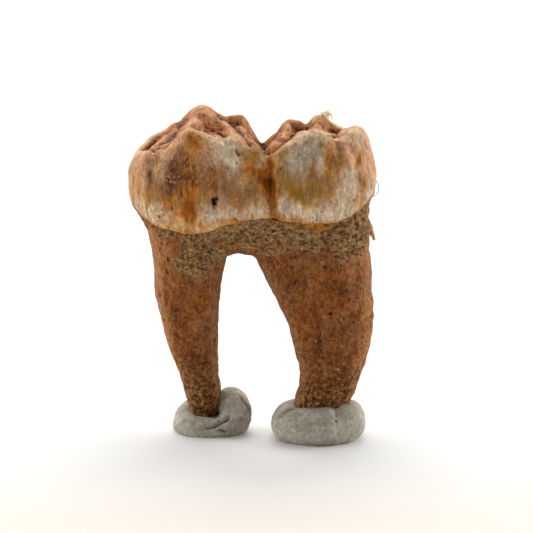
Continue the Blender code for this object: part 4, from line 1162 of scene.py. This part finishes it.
def putty_material():
    shader = Shader("putty_grey")
    clouds = shader.noise(2.2, 4, 0.6)
    grain = shader.noise(0.4, 4, 0.75)
    specks = shader.noise(0.5, 4, 0.75)
    made = shader.shade(shader.mix(shader.rise(clouds, 0.38, 0.62), "putty", "putty_pale"), grain, 0.6, 1.32)
    # Dark specks, and painted shade in the creases.
    made = shader.coats(made, ("putty_dark_and_shade", specks, 0.57, 0.68, 0.6),
                        ("putty_dark_and_shade", shader.layer("groove"), 0.02, 0.12, 0.85))
    return shader.finished({
        "Base Color": made, "Roughness": 0.85, "Specular IOR Level": 0.2, "Normal": shader.bump(grain, 0.35),
    })


def flake_material():
    shader = Shader("flake_ochre")
    height = shader.axis("Z")
    grain = shader.noise((0.2, 0.2, 0.7), 4, 0.7)
    made = shader.coats(shader.mix(shader.rise(height, 26.0, 25.0), "flake", "flake_end"),
                        ("root_dark_and_shade", grain, 0.48, 0.66, 1.0), ("root", height, 26.6, 27.4, 1.0))
    return shader.finished({
        "Base Color": made, "Roughness": shader.blend(grain, 0.4, 0.7), "Normal": shader.bump(grain, 0.08),
    })


def grainy_material(name, tone, shades, gloss, looks=None):
    """One colour with a fine grain, for the smallest pieces."""
    shader = Shader(name)
    grain = shader.noise(0.3, 3, 0.6)
    made = {"Base Color": shader.shade(tone, grain, *shades), "Roughness": shader.blend(grain, *gloss)}
    return shader.finished({**made, **(looks or {})})


def floor_material():
    """White, with painted shade that makes it a little darker and warmer towards the camera, and lit softly
    from below as on a light table.
    """
    shader = Shader("floor_white")
    across = shader.axis("Y")
    near = shader.times(shader.rise(across, -5.0, -42.0), shader.rise(across, -130.0, -60.0))
    made = shader.mix(near, "floor", "floor_near_shade")
    return shader.finished({
        "Base Color": made, "Roughness": 0.9, "Specular IOR Level": 0.1,
        "Emission Color": made, "Emission Strength": FLOOR_GLOW,
    })


# Studio

CAMERA_DISTANCE = 0.283
CAMERA_ELEVATION = 10.0
CAMERA_AIM = (0.00174, 0.0, 0.0215)
FIELD_WIDTH = 0.066
SENSOR_WIDTH = 36.0
FLOOR_SIZE = 6.0
ROOM_LIGHT = 0.14
BACKDROP_LIGHT = 0.8
FLOOR_GLOW = 0.05
# Wide soft lights: azimuth, elevation, strength and spread. Azimuth 0 is over the camera, and 90 is over +X.
SUNS = {
    "light_left": (-105, 22, 1.8, 50), "light_right": (105, 22, 1.9, 50), "light_top": (180, 52, 1.9, 50),
    "light_front": (-35, 35, 0.5, 60),
}


def make_camera():
    elevation = np.radians(CAMERA_ELEVATION)
    away = Vector((0.0, -np.cos(elevation), np.sin(elevation)))
    data = bpy.data.cameras.new("camera")
    data.sensor_width = SENSOR_WIDTH
    data.lens = SENSOR_WIDTH * CAMERA_DISTANCE / FIELD_WIDTH
    data.clip_start = 0.01
    data.clip_end = 20.0
    camera = bpy.data.objects.new("camera", data)
    camera.location = Vector(CAMERA_AIM) + CAMERA_DISTANCE * away
    camera.rotation_euler = (-away).to_track_quat("-Z", "Y").to_euler()
    bpy.context.scene.collection.objects.link(camera)
    bpy.context.scene.camera = camera


def make_sun(name, azimuth, elevation, strength, spread):
    turn = np.radians(azimuth)
    rise = np.radians(elevation)
    towards = Vector((np.sin(turn) * np.cos(rise), -np.cos(turn) * np.cos(rise), np.sin(rise)))
    data = bpy.data.lights.new(name, "SUN")
    data.energy = strength
    data.angle = np.radians(spread)
    light = bpy.data.objects.new(name, data)
    light.rotation_euler = towards.to_track_quat("Z", "Y").to_euler()
    bpy.context.scene.collection.objects.link(light)


def make_world():
    """White all round for the camera. On the object, a bright backdrop and a dim room in front."""
    world = bpy.data.worlds.new("studio")
    bpy.context.scene.world = world
    world.use_nodes = True
    tree = world.node_tree
    tree.nodes["Background"].inputs["Color"].default_value = (1.0, 1.0, 1.0, 1.0)
    kinds = ("TexCoord", "SeparateXYZ", "MapRange", "LightPath", "Mix")
    direction, split, level, seen, strength = (tree.nodes.new("ShaderNode" + kind) for kind in kinds)
    levels = {"From Min": -0.5, "From Max": 0.6, "To Min": ROOM_LIGHT, "To Max": BACKDROP_LIGHT}
    for key, value in levels.items():
        level.inputs[key].default_value = value
    strength.inputs[3].default_value = 1.0
    tree.links.new(direction.outputs["Generated"], split.inputs[0])
    tree.links.new(split.outputs["Y"], level.inputs["Value"])
    tree.links.new(seen.outputs["Is Camera Ray"], strength.inputs[0])
    tree.links.new(level.outputs["Result"], strength.inputs[2])
    tree.links.new(strength.outputs[0], tree.nodes["Background"].inputs["Strength"])


def make_floor():
    mesh = bmesh.new()
    bmesh.ops.create_grid(mesh, x_segments=1, y_segments=1, size=FLOOR_SIZE / 2.0)
    floor = new_piece("floor", mesh)
    floor.data.materials.append(floor_material())


def main():
    bpy.context.scene.view_settings.view_transform = "Standard"
    make_camera()
    make_world()
    for name, light in SUNS.items():
        make_sun(name, *light)
    make_floor()
    molar = make_molar()
    make_crumb()
    make_flake()
    make_hair()
    make_crystals(molar)
    putty = putty_material()
    left = ((LEFT_PUTTY_RING, True), (LEFT_PUTTY_LUMP, False))
    make_putty("left", left, LEFT_PUTTY_BASE, LEFT_PUTTY_FURROWS, putty)
    make_putty("right", ((RIGHT_PUTTY_RING, True),), RIGHT_PUTTY_BASE, RIGHT_PUTTY_FURROWS, putty)


main()
